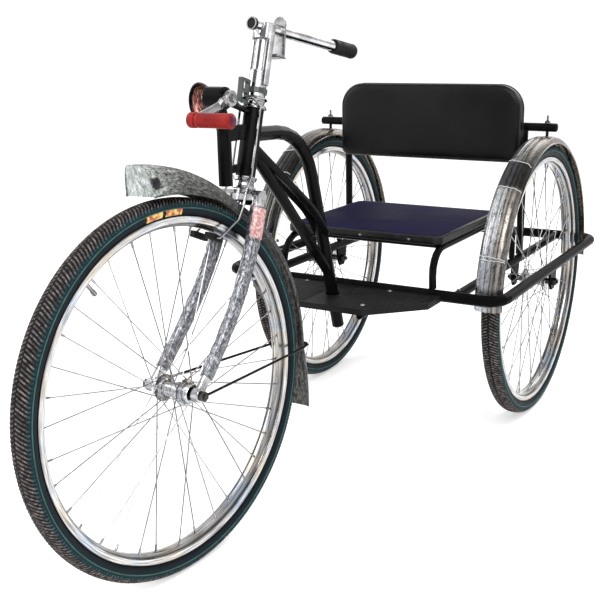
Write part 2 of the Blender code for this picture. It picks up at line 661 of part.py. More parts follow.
tiller_mid = on_axis(TILLER_S)
back = Vector((0.0, math.cos(math.radians(TILLER_DROP)), -math.sin(math.radians(TILLER_DROP))))
tiller_front = tiller_mid - back * TILLER_FORE
grip_start = tiller_mid + back * (TILLER_AFT - GRIP_LONG)
pieces = [rod("column", on_axis(COLUMN_S), on_axis(COLUMN_S + COLUMN_LOW), COLUMN_R, 14)]
pieces.append(rod("stem", on_axis(COLUMN_S + COLUMN_LOW - 0.01), tiller_mid, 0.0130, 12))
for side in (-1, 1):
    pieces.append(rod("side_tube", on_axis(COLUMN_S + COLUMN_LOW - 0.028, 0.0, side * SIDE_TUBE_X),
                      on_axis(TILLER_S - 0.014, 0.0, side * SIDE_TUBE_X), SIDE_TUBE_R, 10))
pieces.append(tube("clamp", [on_axis(TILLER_S - 0.026), on_axis(TILLER_S + 0.004)], (0.0235, 0.0190), 12))
pieces.append(rod("tiller", tiller_front, grip_start - back * FIT, TILLER_R, 12))
hole_end = on_axis(COLUMN_S + STEERER_IN_COLUMN + 0.001)
column = cut("column", fuse("column", pieces), [rod("hole", on_axis(COLUMN_S - 0.02), hole_end, STEERER_R + FIT, 14)])
finish(column, "steering_column", "chrome", True)
finish(rod("grip", grip_start, tiller_mid + back * TILLER_AFT, GRIP_R, 14), "tiller_grip", "black_plastic", True)
cap = rod("cap", tiller_front - back * (FIT + 0.008), tiller_front - back * FIT, TILLER_R + 0.0012, 14)
finish(cap, "tiller_cap", "black_plastic", True)
plate_at = tiller_mid + back * PLATE_BACK
wide, high = PLATE_SIZE
lift = SIDEWAYS.cross(back)
upright = Matrix((SIDEWAYS, lift, back)).transposed().to_4x4()
level = Matrix((SIDEWAYS, back, lift)).transposed().to_4x4()
top = high * 0.35
outline = [(-wide / 2, top - high), (wide / 2, top - high)]
for k in range(7):
    a = math.pi * k / 6
    outline.append((wide / 2 * math.cos(a), top - wide / 2 + wide / 2 * math.sin(a)))
sheet = plate("sheet", outline, 0.004, Matrix.Translation(plate_at) @ upright)
lip = [(-wide / 2, -0.024), (wide / 2, -0.024), (wide / 2, 0.002), (-wide / 2, 0.002)]
flange = plate("flange", lip, 0.0046, Matrix.Translation(plate_at + lift * (top - high)) @ level)
sheet = fuse("sheet", [sheet, flange])
sheet = cut("sheet", sheet, [rod("hole", plate_at - back * 0.02, plate_at + back * 0.02, TILLER_R + FIT, 12)])
finish(sheet, "tiller_plate", "chrome", True)

# Brake bracket on the column: an open black frame in front of it.
bracket_s = COLUMN_S - BRACKET_DROP
corners = [on_axis(bracket_s + s, f) for s, f in ((0.0, 0.026), (0.0, 0.049), (0.046, 0.052), (0.046, 0.026))]
band = bracket_s + 0.026
neck = [on_axis(band + s, f) for s, f in ((0.001, 0.006), (0.001, 0.029), (0.009, 0.029), (0.009, 0.006))]
pieces = [side_plate("frame", corners, 0.010), side_plate("neck", neck, 0.008),
          rod("band", on_axis(band), on_axis(band + 0.010), COLUMN_R + 0.003, 14)]
bracket = fuse("bracket", pieces)
windows = []
for low, high in ((0.006, 0.019), (0.026, 0.040)):
    windows.append(side_plate("window", [on_axis(bracket_s + s, f) for s, f in
                                         ((low, 0.031), (low, 0.044), (high, 0.046), (high, 0.031))], 0.1))
windows.append(rod("bore", on_axis(bracket_s - 0.05), on_axis(bracket_s + 0.1), COLUMN_R + FIT, 14))
finish(cut("brake_bracket", bracket, windows), "brake_bracket", "black_paint", True)

# Brake stirrup: two rods from a yoke in the bracket, beside the head, to the rim, with its pads.
rod_front = ROD_OUT * math.cos(math.radians(ROD_SPREAD))
rod_x = ROD_OUT * math.sin(math.radians(ROD_SPREAD))
pad_r = RIM_R_IN - PAD_GAP - PAD_SIZE[2] / 2
pad_at = around(FRONT_HUB, pad_r, PAD_ANGLE)
blade_front = BLADE_TOP[1] + ROD_R + 0.002
yoke_s = bracket_s + 0.006 + ROD_R + FIT
half = [on_axis(yoke_s, YOKE_FORE, 0.0), on_axis(yoke_s, YOKE_FORE, rod_x), on_axis(yoke_s - 0.010, rod_front, rod_x),
        on_axis(HEAD_LOW_S - 0.004, rod_front, rod_x), on_axis(CROWN_S + 0.014, blade_front + 0.002, rod_x + 0.001),
        on_axis(CROWN_S - 0.018, blade_front + 0.011, rod_x + 0.006),
        on_axis(CROWN_S - 0.048, blade_front + 0.024, STIRRUP_X),
        pad_at + SIDEWAYS * STIRRUP_X, pad_at + SIDEWAYS * (PAD_X + PAD_SIZE[0] + FIT)]
finish(tube("stirrup", mirrored(reversed(half[1:])) + half[1:], ROD_R, 6, Vector((0.0, 1.0, 0.3))), "brake_stirrup",
       "chrome", True)
for side, name in ((1, "left"), (-1, "right")):
    deep, long, high = PAD_SIZE
    pad = box("pad", (PAD_X, -long / 2, -high / 2), (PAD_X + deep, long / 2, high / 2))
    place = Matrix.Translation(pad_at) @ Matrix.Rotation(math.radians(PAD_ANGLE - 90.0), 4, "X")
    pad.data.transform(place if side > 0 else Matrix.Scale(-1.0, 4, SIDEWAYS) @ place)
    if side < 0:
        pad.data.flip_normals()
    finish(pad, "brake_pad_" + name, "rubber", True)

# Front mudguard and its stays.
lower = [crown_angle + (GUARD_TAIL - crown_angle) * i / 13 for i in range(13, 0, -1)]
upper = [crown_angle + (GUARD_TIP - crown_angle) * i / 9 for i in range(10)]
finish(arch("guard", FRONT_HUB, lower + upper, front_guard_section), "front_mudguard", "chrome", True)
stay_x = nut_x + 0.0026
guard_back = GUARD_R + 0.0045
stay = [(-stay_x, NUT_R + 0.0006, HUB_Z - 0.001), (-GUARD_W * 0.65, GUARD_R - 0.029, HUB_Z - 0.008),
        (-GUARD_W * 0.54, GUARD_R - 0.004, HUB_Z - 0.008), (-GUARD_W * 0.40, guard_back, HUB_Z - 0.008)]
finish(tube("stay", stay + mirrored(reversed(stay)), 0.0026, 6, UPWARD), "front_mudguard_stay", "black_paint", True)

# Crank post: stands in front of the head tube and is joined to it at three heights.
boss = on_axis(HEAD_HIGH_S - CRANK_DOWN, CRANK_FORE)
foot_y = boss.y + POST_LEAN
guard_r = front_guard_radius(math.degrees(math.atan2(GUARD_R, foot_y - POST_R)))
foot_z = HUB_Z + math.sqrt(guard_r ** 2 - (foot_y - POST_R) ** 2) + POST_FOOT_GAP
post = [boss, Vector((0, foot_y, boss.z - 0.060)), Vector((0, foot_y, foot_z))]
pieces = [tube("post", post, POST_R, 10)]
pieces.append(rod("shell", boss - SIDEWAYS * SHELL_HALF, boss + SIDEWAYS * SHELL_HALF, SHELL_R, 14))
pieces.append(rod("link", boss, on_axis(HEAD_HIGH_S - 0.008), 0.006, 8))
head_side = on_axis(HEAD_LOW_S).y
for low, high in ((HEAD_LOW_S + 0.013, HEAD_LOW_S + 0.029), (HEAD_LOW_S + 0.076, HEAD_LOW_S + 0.106)):
    a = on_axis(low)
    b = on_axis(high)
    pieces.append(side_plate("web", [(0, foot_y, a.z), a, b, (0, foot_y, b.z)], 0.008))
post = fuse("post", pieces)
post = cut("crank_post", post, [
    rod("head", on_axis(HEAD_LOW_S - 0.1), on_axis(HEAD_HIGH_S + 0.1), HEAD_R + FIT, 14),
    rod("bore", boss - SIDEWAYS * 0.1, boss + SIDEWAYS * 0.1, CRANK_AXLE_R + CRANK_PLAY, 12)])
finish(post, "crank_post", "black_paint")

# Hand crank: axle, arm and handle pin in one body, and the handle on its pin.
down = math.radians(CRANK_REST)
tip = boss + Vector((0.0, -CRANK_ARM * math.cos(down), -CRANK_ARM * math.sin(down)))


def across(label, centre, a, b, radius, sides=12):
    return rod(label, centre + SIDEWAYS * a, centre + SIDEWAYS * b, radius, sides)


eye_end = ARM_X + 0.0065
pieces = [across("axle", boss, -SHELL_HALF - 0.008, CRANK_X + 0.004, CRANK_AXLE_R)]
pieces.append(across("collar", boss, -SHELL_HALF - 0.007, -SHELL_HALF - 0.0008, 0.012))
pieces.append(across("boss", boss, SHELL_HALF + 0.0008, CRANK_X + 0.0070, 0.0145))
arm_path = [boss.lerp(tip, t) + SIDEWAYS * x for t, x in ((0, CRANK_X), (0.17, CRANK_X), (0.42, ARM_X), (1, ARM_X))]
pieces.append(tube("arm", arm_path, [(0.0050, 0.0105), (0.0050, 0.0100), (0.0048, 0.0090), (0.0045, 0.0070)], 8))
pieces.append(across("eye", tip, ARM_X - 0.0055, eye_end, HANDLE_R - 0.0005))
pieces.append(across("pin", tip, ARM_X, eye_end + HANDLE_LONG * 0.5, 0.0045, 8))
finish(fuse("arm", pieces), "hand_crank", "chrome")
grip = across("grip", tip, eye_end + FIT, eye_end + FIT + HANDLE_LONG, HANDLE_R, 14)
grip = cut("grip", grip, [across("hole", tip, 0.0, eye_end + HANDLE_LONG * 0.5 + FIT, 0.0045 + FIT, 8)])
finish(grip, "crank_grip", "red_plastic")

# Lamp on the rider's right, turned outwards, on an arm from the crank shell.
lamp_dir = Vector((-math.sin(math.radians(LAMP_TURN)), -math.cos(math.radians(LAMP_TURN)), 0.0))
lamp_at = boss + Vector((-LAMP_SIDE + 0.012, LAMP_BACK, -0.0125))
bell = [(0.24, 0.0), (0.36, 0.06), (0.38, 0.40), (0.50, 0.56), (0.80, 0.76), (1.0, 0.90), (1.0, 1.0)]
lamp = lathe("lamp", [(LAMP_R * r, LAMP_LONG * a) for r, a in bell], lamp_at, lamp_dir, 18, False)
arm = rounded([lamp_at + lamp_dir * 0.014, lamp_at + Vector((0.020, -0.030, -0.004)),
               boss + Vector((-SHELL_HALF + 0.006, SHELL_R - 0.004, -0.004))], 0.02, 3)
lamp = fuse("lamp", [lamp, tube("arm", arm, 0.0055, 8, UPWARD)])
room = [rod("shell", boss - SIDEWAYS * 0.1, boss + SIDEWAYS * 0.1, SHELL_R + FIT, 14),
        tube("post", [boss, Vector((0, foot_y, boss.z - 0.060)), Vector((0, foot_y, foot_z))], POST_R + FIT, 10)]
finish(cut("lamp", lamp, room), "lamp", "black_plastic")

# Put the origin under the middle of the box, print the joints and the sizes.
low = Vector((9, 9, 9))
high = -low
for item in bpy.data.objects:
    for v in item.data.vertices:
        low = Vector(map(min, low, v.co))
        high = Vector(map(max, high, v.co))
shift = Vector((0.0, -(low.y + high.y) / 2, -low.z))
tris = 0
for item in bpy.data.objects:
    item.data.transform(Matrix.Translation(shift))
    count = sum(len(p.vertices) - 2 for p in item.data.polygons)
    tris += count
    print(item.name, count)
for label, point in (("steering", STEER_AT), ("front wheel", STEERED @ FRONT_HUB), ("hand crank", boss),
                     ("left wheel", LEFT_HUB), ("right wheel", RIGHT_HUB)):
    print(label, [round(c, 5) for c in point + shift])
print("steering axis", [round(c, 5) for c in STEER_DIR])
print("steered cross axis", [round(c, 5) for c in STEERED.to_3x3() @ SIDEWAYS])
print("box", low + shift, high + shift, "shift", shift, "triangles", tris)
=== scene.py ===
"""Looks for the hand-cranked wheelchair tricycle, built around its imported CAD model.

Row frame: metres, +Z up, -Y forward, +X the rider's left, origin on the floor under the middle.
"""
import json
import math

import bpy
from mathutils import Matrix, Vector, noise


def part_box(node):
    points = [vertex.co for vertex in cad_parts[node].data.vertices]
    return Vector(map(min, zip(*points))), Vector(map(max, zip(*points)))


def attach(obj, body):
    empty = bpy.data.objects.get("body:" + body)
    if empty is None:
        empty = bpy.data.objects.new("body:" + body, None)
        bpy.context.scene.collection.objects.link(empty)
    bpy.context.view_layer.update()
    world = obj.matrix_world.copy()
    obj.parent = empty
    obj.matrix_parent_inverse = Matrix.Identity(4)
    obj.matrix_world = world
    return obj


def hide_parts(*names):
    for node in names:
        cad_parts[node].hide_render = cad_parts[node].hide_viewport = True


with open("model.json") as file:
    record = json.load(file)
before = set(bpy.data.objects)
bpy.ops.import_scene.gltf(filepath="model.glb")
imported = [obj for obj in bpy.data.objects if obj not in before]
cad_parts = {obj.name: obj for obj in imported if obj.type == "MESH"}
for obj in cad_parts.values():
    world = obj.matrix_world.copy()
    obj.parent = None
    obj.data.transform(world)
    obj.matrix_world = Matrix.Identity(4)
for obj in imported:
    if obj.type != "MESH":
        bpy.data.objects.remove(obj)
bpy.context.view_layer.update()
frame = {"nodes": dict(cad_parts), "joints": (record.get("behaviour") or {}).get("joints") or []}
JOINTS = {joint["name"]: joint for joint in frame["joints"]}

# Sizes that the looks share with the CAD model, in metres and degrees.
FIT = 0.0003
WHEEL_R = 0.356
TYRE_HALF = 0.0215
TYRE_SEAT_R = 0.3228
RIM_R_OUT = 0.3225
RIM_R_IN = 0.303
RIM_HALF = 0.0175
HUB_FLANGE_R = 0.026
HUB_FLANGE_X = 0.027
FRONT_HUB_HALF = 0.045
REAR_HUB_HALF = 0.032
SPOKES = 36
FORK_OFFSET = 0.119
STEER_AT_REST = -6.0

# Mudguards: radius, half width and lip, then the front one's flared tip and tail.
GUARD_R = 0.3745
FRONT_HALF = 0.030
REAR_GUARD_R = 0.374
REAR_HALF = 0.033
GUARD_LIP = 0.016
GUARD_TAIL = -22.0
GUARD_TIP = 97.0
FLARE_FROM = 60.0
TIP_FLARE = 0.050
TIP_WIDER = 0.005
TIP_SKIRT = 0.040
TAIL_FROM = -2.0
TAIL_FLARE = 0.037
REAR_SWEEP = 180.0
STUD_BEHIND_HUB = 0.043
STUD_STEPS = 14
REAR_STEP = 6.0

# Distances up the steering axis start beside the front hub.
CROWN_S = 0.3782
LOW_CUP_S = CROWN_S + 0.0163
COLUMN_S = 0.5734
HIGH_CUP_S = COLUMN_S - 0.0223
TILLER_S = 0.7124
BLADE_TOP_X = 0.042
BLADE_FOOT_X = 0.058
BLADE_TOP = (0.0115, 0.0150)
BLADE_FOOT = (0.0085, 0.0110)
BLADE_BOW = 0.031
BLADE_LONG = 0.39

# Tiller, crank, lamp, seat and chassis.
TILLER_DROP = 9.9
TILLER_FORE = 0.034
TILLER_AFT = 0.308
GRIP_LONG = 0.076
GRIP_R = 0.0155
PLATE_BACK = 0.046
PLATE_HIGH = 0.078
CRANK_ARM = 0.133
CRANK_REST = 12.5
CRANK_BOSS_X = 0.035
ARM_X = 0.0415
EYE_HALF = 0.0065
HANDLE_R = 0.0135
HANDLE_LONG = 0.076
LAMP_R = 0.0375
LAMP_LONG = 0.066
LAMP_TURN = 20.0
LAMP_FROM_CRANK = Vector((-0.060, 0.118, -0.0125))
BACK_BAR_R = 0.011
BACK_BAR_OVER_REST = 0.089
RAIL_RISE = 0.044
RAIL_IN_X = 0.260
FOOT_NOSE_LONG = 0.112

X_AXIS = Vector((1.0, 0.0, 0.0))
UP = Vector((0.0, 0.0, 1.0))
STEER_AT = Vector(JOINTS["steering_turn"]["pos_m"])
STEER_DIR = Vector(JOINTS["steering_turn"]["axis"]).normalized()
STEER_FRONT = Vector((0.0, -STEER_DIR.z, STEER_DIR.y))
FRONT_HUB = STEER_AT - Vector((0.0, FORK_OFFSET / STEER_DIR.z, 0.0))
AXIS_FOOT = FRONT_HUB - STEER_FRONT * FORK_OFFSET
LEFT_HUB = Vector(JOINTS["rear_wheel_left_spin"]["pos_m"])
RIGHT_HUB = Vector(JOINTS["rear_wheel_right_spin"]["pos_m"])
CRANK_AT = Vector(JOINTS["hand_crank_spin"]["pos_m"])
STEERED = Matrix.Translation(STEER_AT) @ Matrix.Rotation(math.radians(STEER_AT_REST), 4, STEER_DIR) @ (
    Matrix.Translation(-STEER_AT))


# Materials. A colour is three numbers, or one number for a grey.
def rgb(colour):
    return (colour, colour, colour) if isinstance(colour, float) else colour


def scaled(colour, factor, plus=0.0):
    return tuple(min(1.0, c * factor + plus) for c in rgb(colour))


def with_values(node, values):
    """The shader node, with the values of some of its sockets set."""
    for socket, value in values.items():
        node.inputs[socket].default_value = value
    return node


class Paint:
    """Shader nodes of one material, with short calls for what the materials share."""

    def __init__(self, name, colour, rough, metal=0.0, coat=0.0, spec=0.5):
        self.material = bpy.data.materials.new(name)
        self.material.use_nodes = True
        self.tree = self.material.node_tree
        self.shader = with_values(self.tree.nodes["Principled BSDF"], {
            "Base Color": (*rgb(colour), 1.0), "Roughness": rough, "Metallic": metal, "Coat Weight": coat,
            "Coat Roughness": 0.08, "Specular IOR Level": spec})
        self.place = self.node("ShaderNodeTexCoord").outputs["Object"]
        self.normal = None

    def node(self, kind, values=None):
        return with_values(self.tree.nodes.new(kind), values or {})

    def link(self, a, b):
        self.tree.links.new(a, b)

    def use_flow(self):
        """Textures follow a piece's own length and girth, which Shape writes into its mesh."""
        made = self.node("ShaderNodeAttribute")
        made.attribute_name = "flow"
        self.place = made.outputs["Vector"]
        return self

    def spread(self, source, start=0.0, end=1.0, low=0.0, high=1.0):
        """Takes a source from start..end to low..high."""
        values = {"From Min": start, "From Max": end, "To Min": low, "To Max": high}
        made = self.node("ShaderNodeMapRange", values)
        self.link(source, made.inputs["Value"])
        return made.outputs["Result"]

    def part_of(self, vector, which, start=0.0, end=1.0):
        """One part of a vector, X, Y or Z, taken from start..end to 0..1."""
        split = self.node("ShaderNodeSeparateXYZ")
        self.link(vector, split.inputs["Vector"])
        return self.spread(split.outputs[which], start, end)

    def facing(self, direction):
        """How far the surface faces a fixed direction, from 0 to 1."""
        if self.normal is None:
            self.normal = self.node("ShaderNodeNewGeometry").outputs["Normal"]
        dot = self.node("ShaderNodeVectorMath")
        dot.operation = "DOT_PRODUCT"
        dot.inputs[1].default_value = direction
        self.link(self.normal, dot.inputs[0])
        return self.spread(dot.outputs["Value"], -1.0)

    def texture(self, kind, stretch, values):
        made = self.node(kind, values)
        mapping = self.node("ShaderNodeMapping", {"Scale": stretch})
        self.link(self.place, mapping.inputs["Vector"])
        self.link(mapping.outputs["Vector"], made.inputs["Vector"])
        return made

    def noise(self, scale, detail=3.0, stretch=(1, 1, 1), rough=0.55):
        values = {"Scale": scale, "Detail": detail, "Roughness": rough}
        return self.texture("ShaderNodeTexNoise", stretch, values).outputs["Fac"]

    def cells(self, scale):
        return self.texture("ShaderNodeTexVoronoi", (1, 1, 1), {"Scale": scale}).outputs["Distance"]

    def ramp(self, source, stops):
        made = self.node("ShaderNodeValToRGB")
        ramp = made.color_ramp
        while len(ramp.elements) < len(stops):
            ramp.elements.new(0.5)
        for element, (at, colour) in zip(ramp.elements, stops):
            element.position = at
            element.color = (*rgb(colour), 1.0)
        self.link(source, made.inputs["Fac"])
        return made.outputs["Color"]

    def times(self, a, b):
        mix = self.node("ShaderNodeMix", {"Factor": 1.0})
        mix.data_type = "RGBA"
        mix.blend_type = "MULTIPLY"
        self.link(a, mix.inputs[6])
        self.link(b, mix.inputs[7])
        return mix.outputs[2]

    def colour_from(self, colour, *more):
        """The product of some colours goes to the shader."""
        for other in more:
            colour = self.times(colour, other)
        self.link(colour, self.shader.inputs["Base Color"])

    def colour_by(self, source, stops):
        self.colour_from(self.ramp(source, stops))

    def rough_by(self, source, low, high, start=0.3, end=0.7):
        self.link(self.spread(source, start, end, low, high), self.shader.inputs["Roughness"])

    def soften(self, radius):
        """Rounds the shading over the facets and edges of a CAD solid."""
        made = self.node("ShaderNodeBevel", {"Radius": radius})
        made.samples = 6
        self.normal = made.outputs["Normal"]
        self.link(self.normal, self.shader.inputs["Normal"])

    def bump(self, source, strength, distance):
        made = self.node("ShaderNodeBump", {"Strength": strength, "Distance": distance})
        self.link(source, made.inputs["Height"])
        if self.normal is not None:
            self.link(self.normal, made.inputs["Normal"])
        self.normal = made.outputs["Normal"]
        self.link(self.normal, self.shader.inputs["Normal"])


def mirrored(half, width):
    """Stops across half of a section, and the same stops back again on its other half."""
    return half + [(width - at, value) for at, value in reversed(half[:-1])]


def black_enamel(name, radius, spec=0.055, rough=(0.12, 0.24)):
    paint = Paint(name, (0.006, 0.006, 0.007), 0.22, spec=spec)
    if radius:
        paint.soften(radius)
    paint.bump(paint.noise(90.0), 0.12, 0.0006)
    dust = paint.noise(14.0, 5.0)
    paint.colour_by(dust, [(0.44, (0.0040, 0.0040, 0.0046)), (0.66, (0.0085, 0.0080, 0.0080)),
                           (0.80, (0.022, 0.020, 0.018))])
    paint.rough_by(dust, *rough)
    return paint.material


# Painted reflections on bright metal: bands in its colour by how far it faces one fixed direction.
PAINTED_REFLECTION_WAY = (0.70, 0.42, 0.58)
PAINTED_REFLECTION_BANDS = [
    (0.02, (0.12, 0.12, 0.13)), (0.17, (0.20, 0.20, 0.21)), (0.24, (0.90, 0.90, 0.92)),
    (0.36, (0.98, 0.98, 1.0)), (0.42, (0.16, 0.16, 0.17)), (0.50, (0.20, 0.20, 0.21)),
    (0.59, (0.34, 0.34, 0.35)), (0.64, (0.96, 0.96, 0.97)), (0.78, 1.0), (0.84, (0.62, 0.60, 0.60)),
    (0.97, (0.44, 0.42, 0.42))]


def bright_chrome(name, radius, dark=0.30, light=0.86, rough=(0.06, 0.20)):
    paint = Paint(name, (0.8, 0.8, 0.81), 0.1, metal=1.0)
    if radius:
        paint.soften(radius)
    # Painted reflections: the base colour in light and dark bands by which way the surface faces.
    painted_reflections = paint.ramp(paint.facing(PAINTED_REFLECTION_WAY), PAINTED_REFLECTION_BANDS)
    cloud = paint.noise(26.0, 5.0)
    paint.bump(paint.noise(140.0, 2.0), 0.08, 0.0004)
    mid = (dark + light) / 2
    tone = paint.ramp(cloud, [(0.30, (dark, dark, dark * 1.03)), (0.46, (mid, mid, mid * 1.02)),
                              (0.62, light)])
    paint.colour_from(painted_reflections, tone)
    paint.rough_by(cloud, *rough)
    return paint.material


def ringed_chrome(name, stops, streak, dark, light):
    """Plated metal with streaks along its length, for rims, with painted reflections in bands across it:
    stops go across the section from 0 to 1.
    """
    paint = Paint(name, (0.8, 0.8, 0.81), 0.1, metal=1.0).use_flow()
    # Painted reflections: light and dark bands across the rim's section.
    painted_reflections = paint.ramp(paint.part_of(paint.place, "Z"), [(at, (v, v * 0.995, v)) for at, v in stops])
    fine = paint.noise(streak, 4.0, (0.05, 1.0, 0.0))
    mid = (dark + light) / 2
    tone = paint.ramp(fine, [(0.34, (dark, dark * 0.96, dark * 0.90)), (0.48, mid),
                             (0.62, (light, light, light * 1.01))])
    tint = paint.ramp(paint.noise(9.0, 2.0, (1.0, 0.0, 0.0)), [
        (0.38, (0.80, 0.88, 1.0)), (0.48, 1.0), (0.60, (1.0, 0.93, 0.83))])
    paint.colour_from(painted_reflections, tone, tint)
    paint.bump(fine, 0.15, 0.0006)
    paint.rough_by(fine, 0.10, 0.28)
    return paint.material


def wrapped_chrome(name, scale, low, middle, high, along, run=1.0, lengths=None):
    """Plated metal still in its clear wrapping: crumpled, mottled, duller than the bare metal.

    Where it has them, lengths are stops from 0 to 1 along the run of the piece.
    """
    paint = Paint(name, middle, 0.2, metal=0.75, spec=0.4).use_flow()
    crumple = paint.noise(scale * 0.45, 4.0, (along, 1.0, 0.0), 0.6)
    grain = paint.noise(scale * 1.3, 7.0, (along, 1.0, 0.0), 0.78)
    paint.bump(crumple, 0.60, 0.0030)
    paint.bump(grain, 0.40, 0.0012)
    fine = paint.ramp(grain, [(0.38, low), (0.50, middle), (0.61, high)])
    broad = paint.ramp(crumple, [(0.34, (0.50, 0.50, 0.52)), (0.52, 0.90), (0.64, 1.0)])
    more = [paint.ramp(paint.part_of(paint.place, "X", 0.0, run), lengths)] if lengths else []
    paint.colour_from(fine, broad, *more)
    paint.rough_by(crumple, 0.12, 0.38, 0.0, 0.5)
    return paint.material


# Painted highlights and painted shade across a rear guard's outer half, at its ribs and lip.
GUARD_PAINTED_LIGHT = [
    (0.0, 0.08), (0.028, (0.12, 0.12, 0.13)), (0.055, (0.88, 0.89, 0.92)), (0.150, 1.0),
    (0.172, (0.30, 0.30, 0.31)), (0.195, (0.96, 0.96, 0.98)), (0.245, 0.80), (0.265, (0.16, 0.15, 0.14)),
    (0.300, (0.70, 0.64, 0.57)), (0.335, (0.20, 0.18, 0.165)), (0.385, (0.62, 0.55, 0.47)),
    (0.425, (0.18, 0.165, 0.15)), (0.480, (0.48, 0.44, 0.40))]


def rear_guard_metal(name, stops):
    """A guard in rolls of clear wrapping: dark and bright lengths, with fine lines along it and painted
    highlights and shade across it.
    """
    paint = Paint(name, 0.4, 0.2, metal=0.8, spec=0.4).use_flow()
    lengths = paint.ramp(paint.part_of(paint.place, "X", 0.0, REAR_RUN), stops)
    # Painted highlights and shade across the guard, by its section.
    painted_light_across = paint.ramp(paint.part_of(paint.place, "Z"), GUARD_PAINTED_LIGHT)
    lines = paint.noise(420.0, 5.0, (0.045, 1.0, 0.0), 0.65)
    grain = paint.noise(105.0, 7.0, (0.55, 1.0, 0.0), 0.72)
    streaks = paint.ramp(lines, [(0.38, (0.30, 0.30, 0.31)), (0.46, (0.90, 0.90, 0.91)), (0.58, 1.0)])
    mottle = paint.ramp(grain, [(0.37, (0.22, 0.21, 0.20)), (0.47, 0.86), (0.58, 1.0)])
    paint.colour_from(lengths, painted_light_across, streaks, mottle)
    paint.bump(grain, 0.45, 0.0014)
    paint.bump(lines, 0.35, 0.0008)
    paint.rough_by(grain, 0.10, 0.34)
    return paint.material


def rubber(name, colour, high=0.6):
    paint = Paint(name, colour, 0.65, spec=0.14)
    dust = paint.noise(60.0, 5.0)
    paint.colour_by(dust, [(0.40, colour), (0.68, scaled(colour, 1.6, 0.004))])
    paint.rough_by(dust, high - 0.15, high + 0.2)
    paint.bump(paint.noise(420.0, 2.0), 0.2, 0.0004)
    return paint.material


def tyre_skin(name):
    """Rubber that goes from the black bead over a dark teal wall to the tread."""
    paint = Paint(name, 0.01, 0.6, spec=0.12).use_flow()
    zones = [(0.0, (0.003, 0.004, 0.005)), (0.090, (0.004, 0.005, 0.008)), (0.120, (0.006, 0.013, 0.019)),
             (0.185, (0.008, 0.020, 0.025)), (0.215, (0.012, 0.034, 0.038)), (0.29, (0.010, 0.024, 0.027)),
             (0.33, (0.006, 0.007, 0.008)), (0.48, 0.005)]
    wall = paint.ramp(paint.part_of(paint.place, "Z"), mirrored(zones, 0.96))
    dust = paint.noise(60.0, 5.0)
    paint.colour_from(wall, paint.ramp(dust, [(0.36, 0.65), (0.60, 1.0)]))
    paint.rough_by(dust, 0.45, 0.75)
    return paint.material


def tread_skin(name, low, middle, high):
    paint = Paint(name, middle, 0.75, spec=0.10)
    dust = paint.noise(130.0, 6.0, (1, 1, 1), 0.75)
    paint.colour_by(dust, [(0.38, low), (0.49, middle), (0.60, high)])
    paint.rough_by(dust, 0.55, 0.85)
    paint.bump(paint.noise(500.0, 2.0), 0.2, 0.0003)
    return paint.material


def vinyl(name, colour, sheen_rough, grain=520.0, spec=0.16):
    paint = Paint(name, colour, sheen_rough, spec=spec)
    wear = paint.noise(7.0, 4.0)
    worn = scaled(colour, 1.45, 0.0015)
    paint.colour_by(wear, [(0.34, scaled(colour, 0.72)), (0.52, colour), (0.72, worn)])
    paint.rough_by(wear, sheen_rough - 0.08, sheen_rough + 0.12)
    paint.bump(paint.cells(grain), 0.35, 0.0005)
    paint.bump(paint.noise(18.0, 3.0), 0.25, 0.0020)
    return paint.material


def gloss_plastic(name, colour, rough, spec, scale=60.0):
    paint = Paint(name, colour, rough, spec=spec)
    cloud = paint.noise(scale, 4.0)
    paint.colour_by(cloud, [(0.35, scaled(colour, 0.75)), (0.52, colour), (0.70, scaled(colour, 1.25, 0.01))])
    paint.rough_by(cloud, rough - 0.08, rough + 0.12)
    paint.bump(paint.noise(300.0, 2.0), 0.15, 0.0004)
    return paint.material


def copper_inside():
    """The lamp's bowl: copper, full bright round its mouth, with painted shade in its depth and on its left.
    """
    paint = Paint("copper_bowl", (0.20, 0.06, 0.04), 0.25, metal=0.7, spec=0.3)
    # Painted shade: the bowl darker towards its left side.
    painted_side_shade = paint.ramp(paint.part_of(paint.place, "X", -0.120, -0.045), [
        (0.20, 1.0), (0.48, (0.45, 0.42, 0.42)), (0.62, (0.10, 0.09, 0.09))])
    paint.use_flow()
    cloud = paint.noise(70.0, 3.0)
    copper = paint.ramp(cloud, [(0.38, (0.100, 0.028, 0.024)), (0.52, (0.250, 0.085, 0.065)),
                                (0.66, (0.62, 0.40, 0.34))])
    # Painted shade: the bowl darker deeper inside, its copper in full just within the mouth.
    painted_depth_shade = paint.ramp(paint.part_of(paint.place, "Z"), [
        (0.0, 0.02), (0.055, 0.03), (0.075, 1.0), (0.19, (0.9, 0.8, 0.8)), (0.26, (0.26, 0.18, 0.16)),
        (0.34, (0.06, 0.05, 0.05)), (0.60, 0.03)])
    paint.colour_from(copper, painted_depth_shade, painted_side_shade)
    paint.rough_by(cloud, 0.16, 0.40)
    return paint.material


def label_print(name, low, middle, high, scale):
    paint = Paint(name, middle, 0.35, coat=0.5)
    blot = paint.noise(scale, 2.0)
    paint.colour_by(blot, [(0.40, low), (0.52, middle), (0.62, high)])
    paint.bump(paint.noise(200.0), 0.1, 0.0004)
    return paint.material


ENAMEL = black_enamel("enamel_tubes", 0.0045)
ENAMEL_RAIL = black_enamel("enamel_rails", 0.0045, 0.018, (0.22, 0.36))
ENAMEL_THIN = black_enamel("enamel_small", 0.0015)
ENAMEL_PLAIN = black_enamel("enamel_fine", 0.0)
CHROME = bright_chrome("chrome_tubes", 0.0040, 0.34, 0.84)
CHROME_SMALL = bright_chrome("chrome_small", 0.0012, 0.26, 0.72)
CHROME_FINE = bright_chrome("chrome_fine", 0.0, 0.30, 0.80)
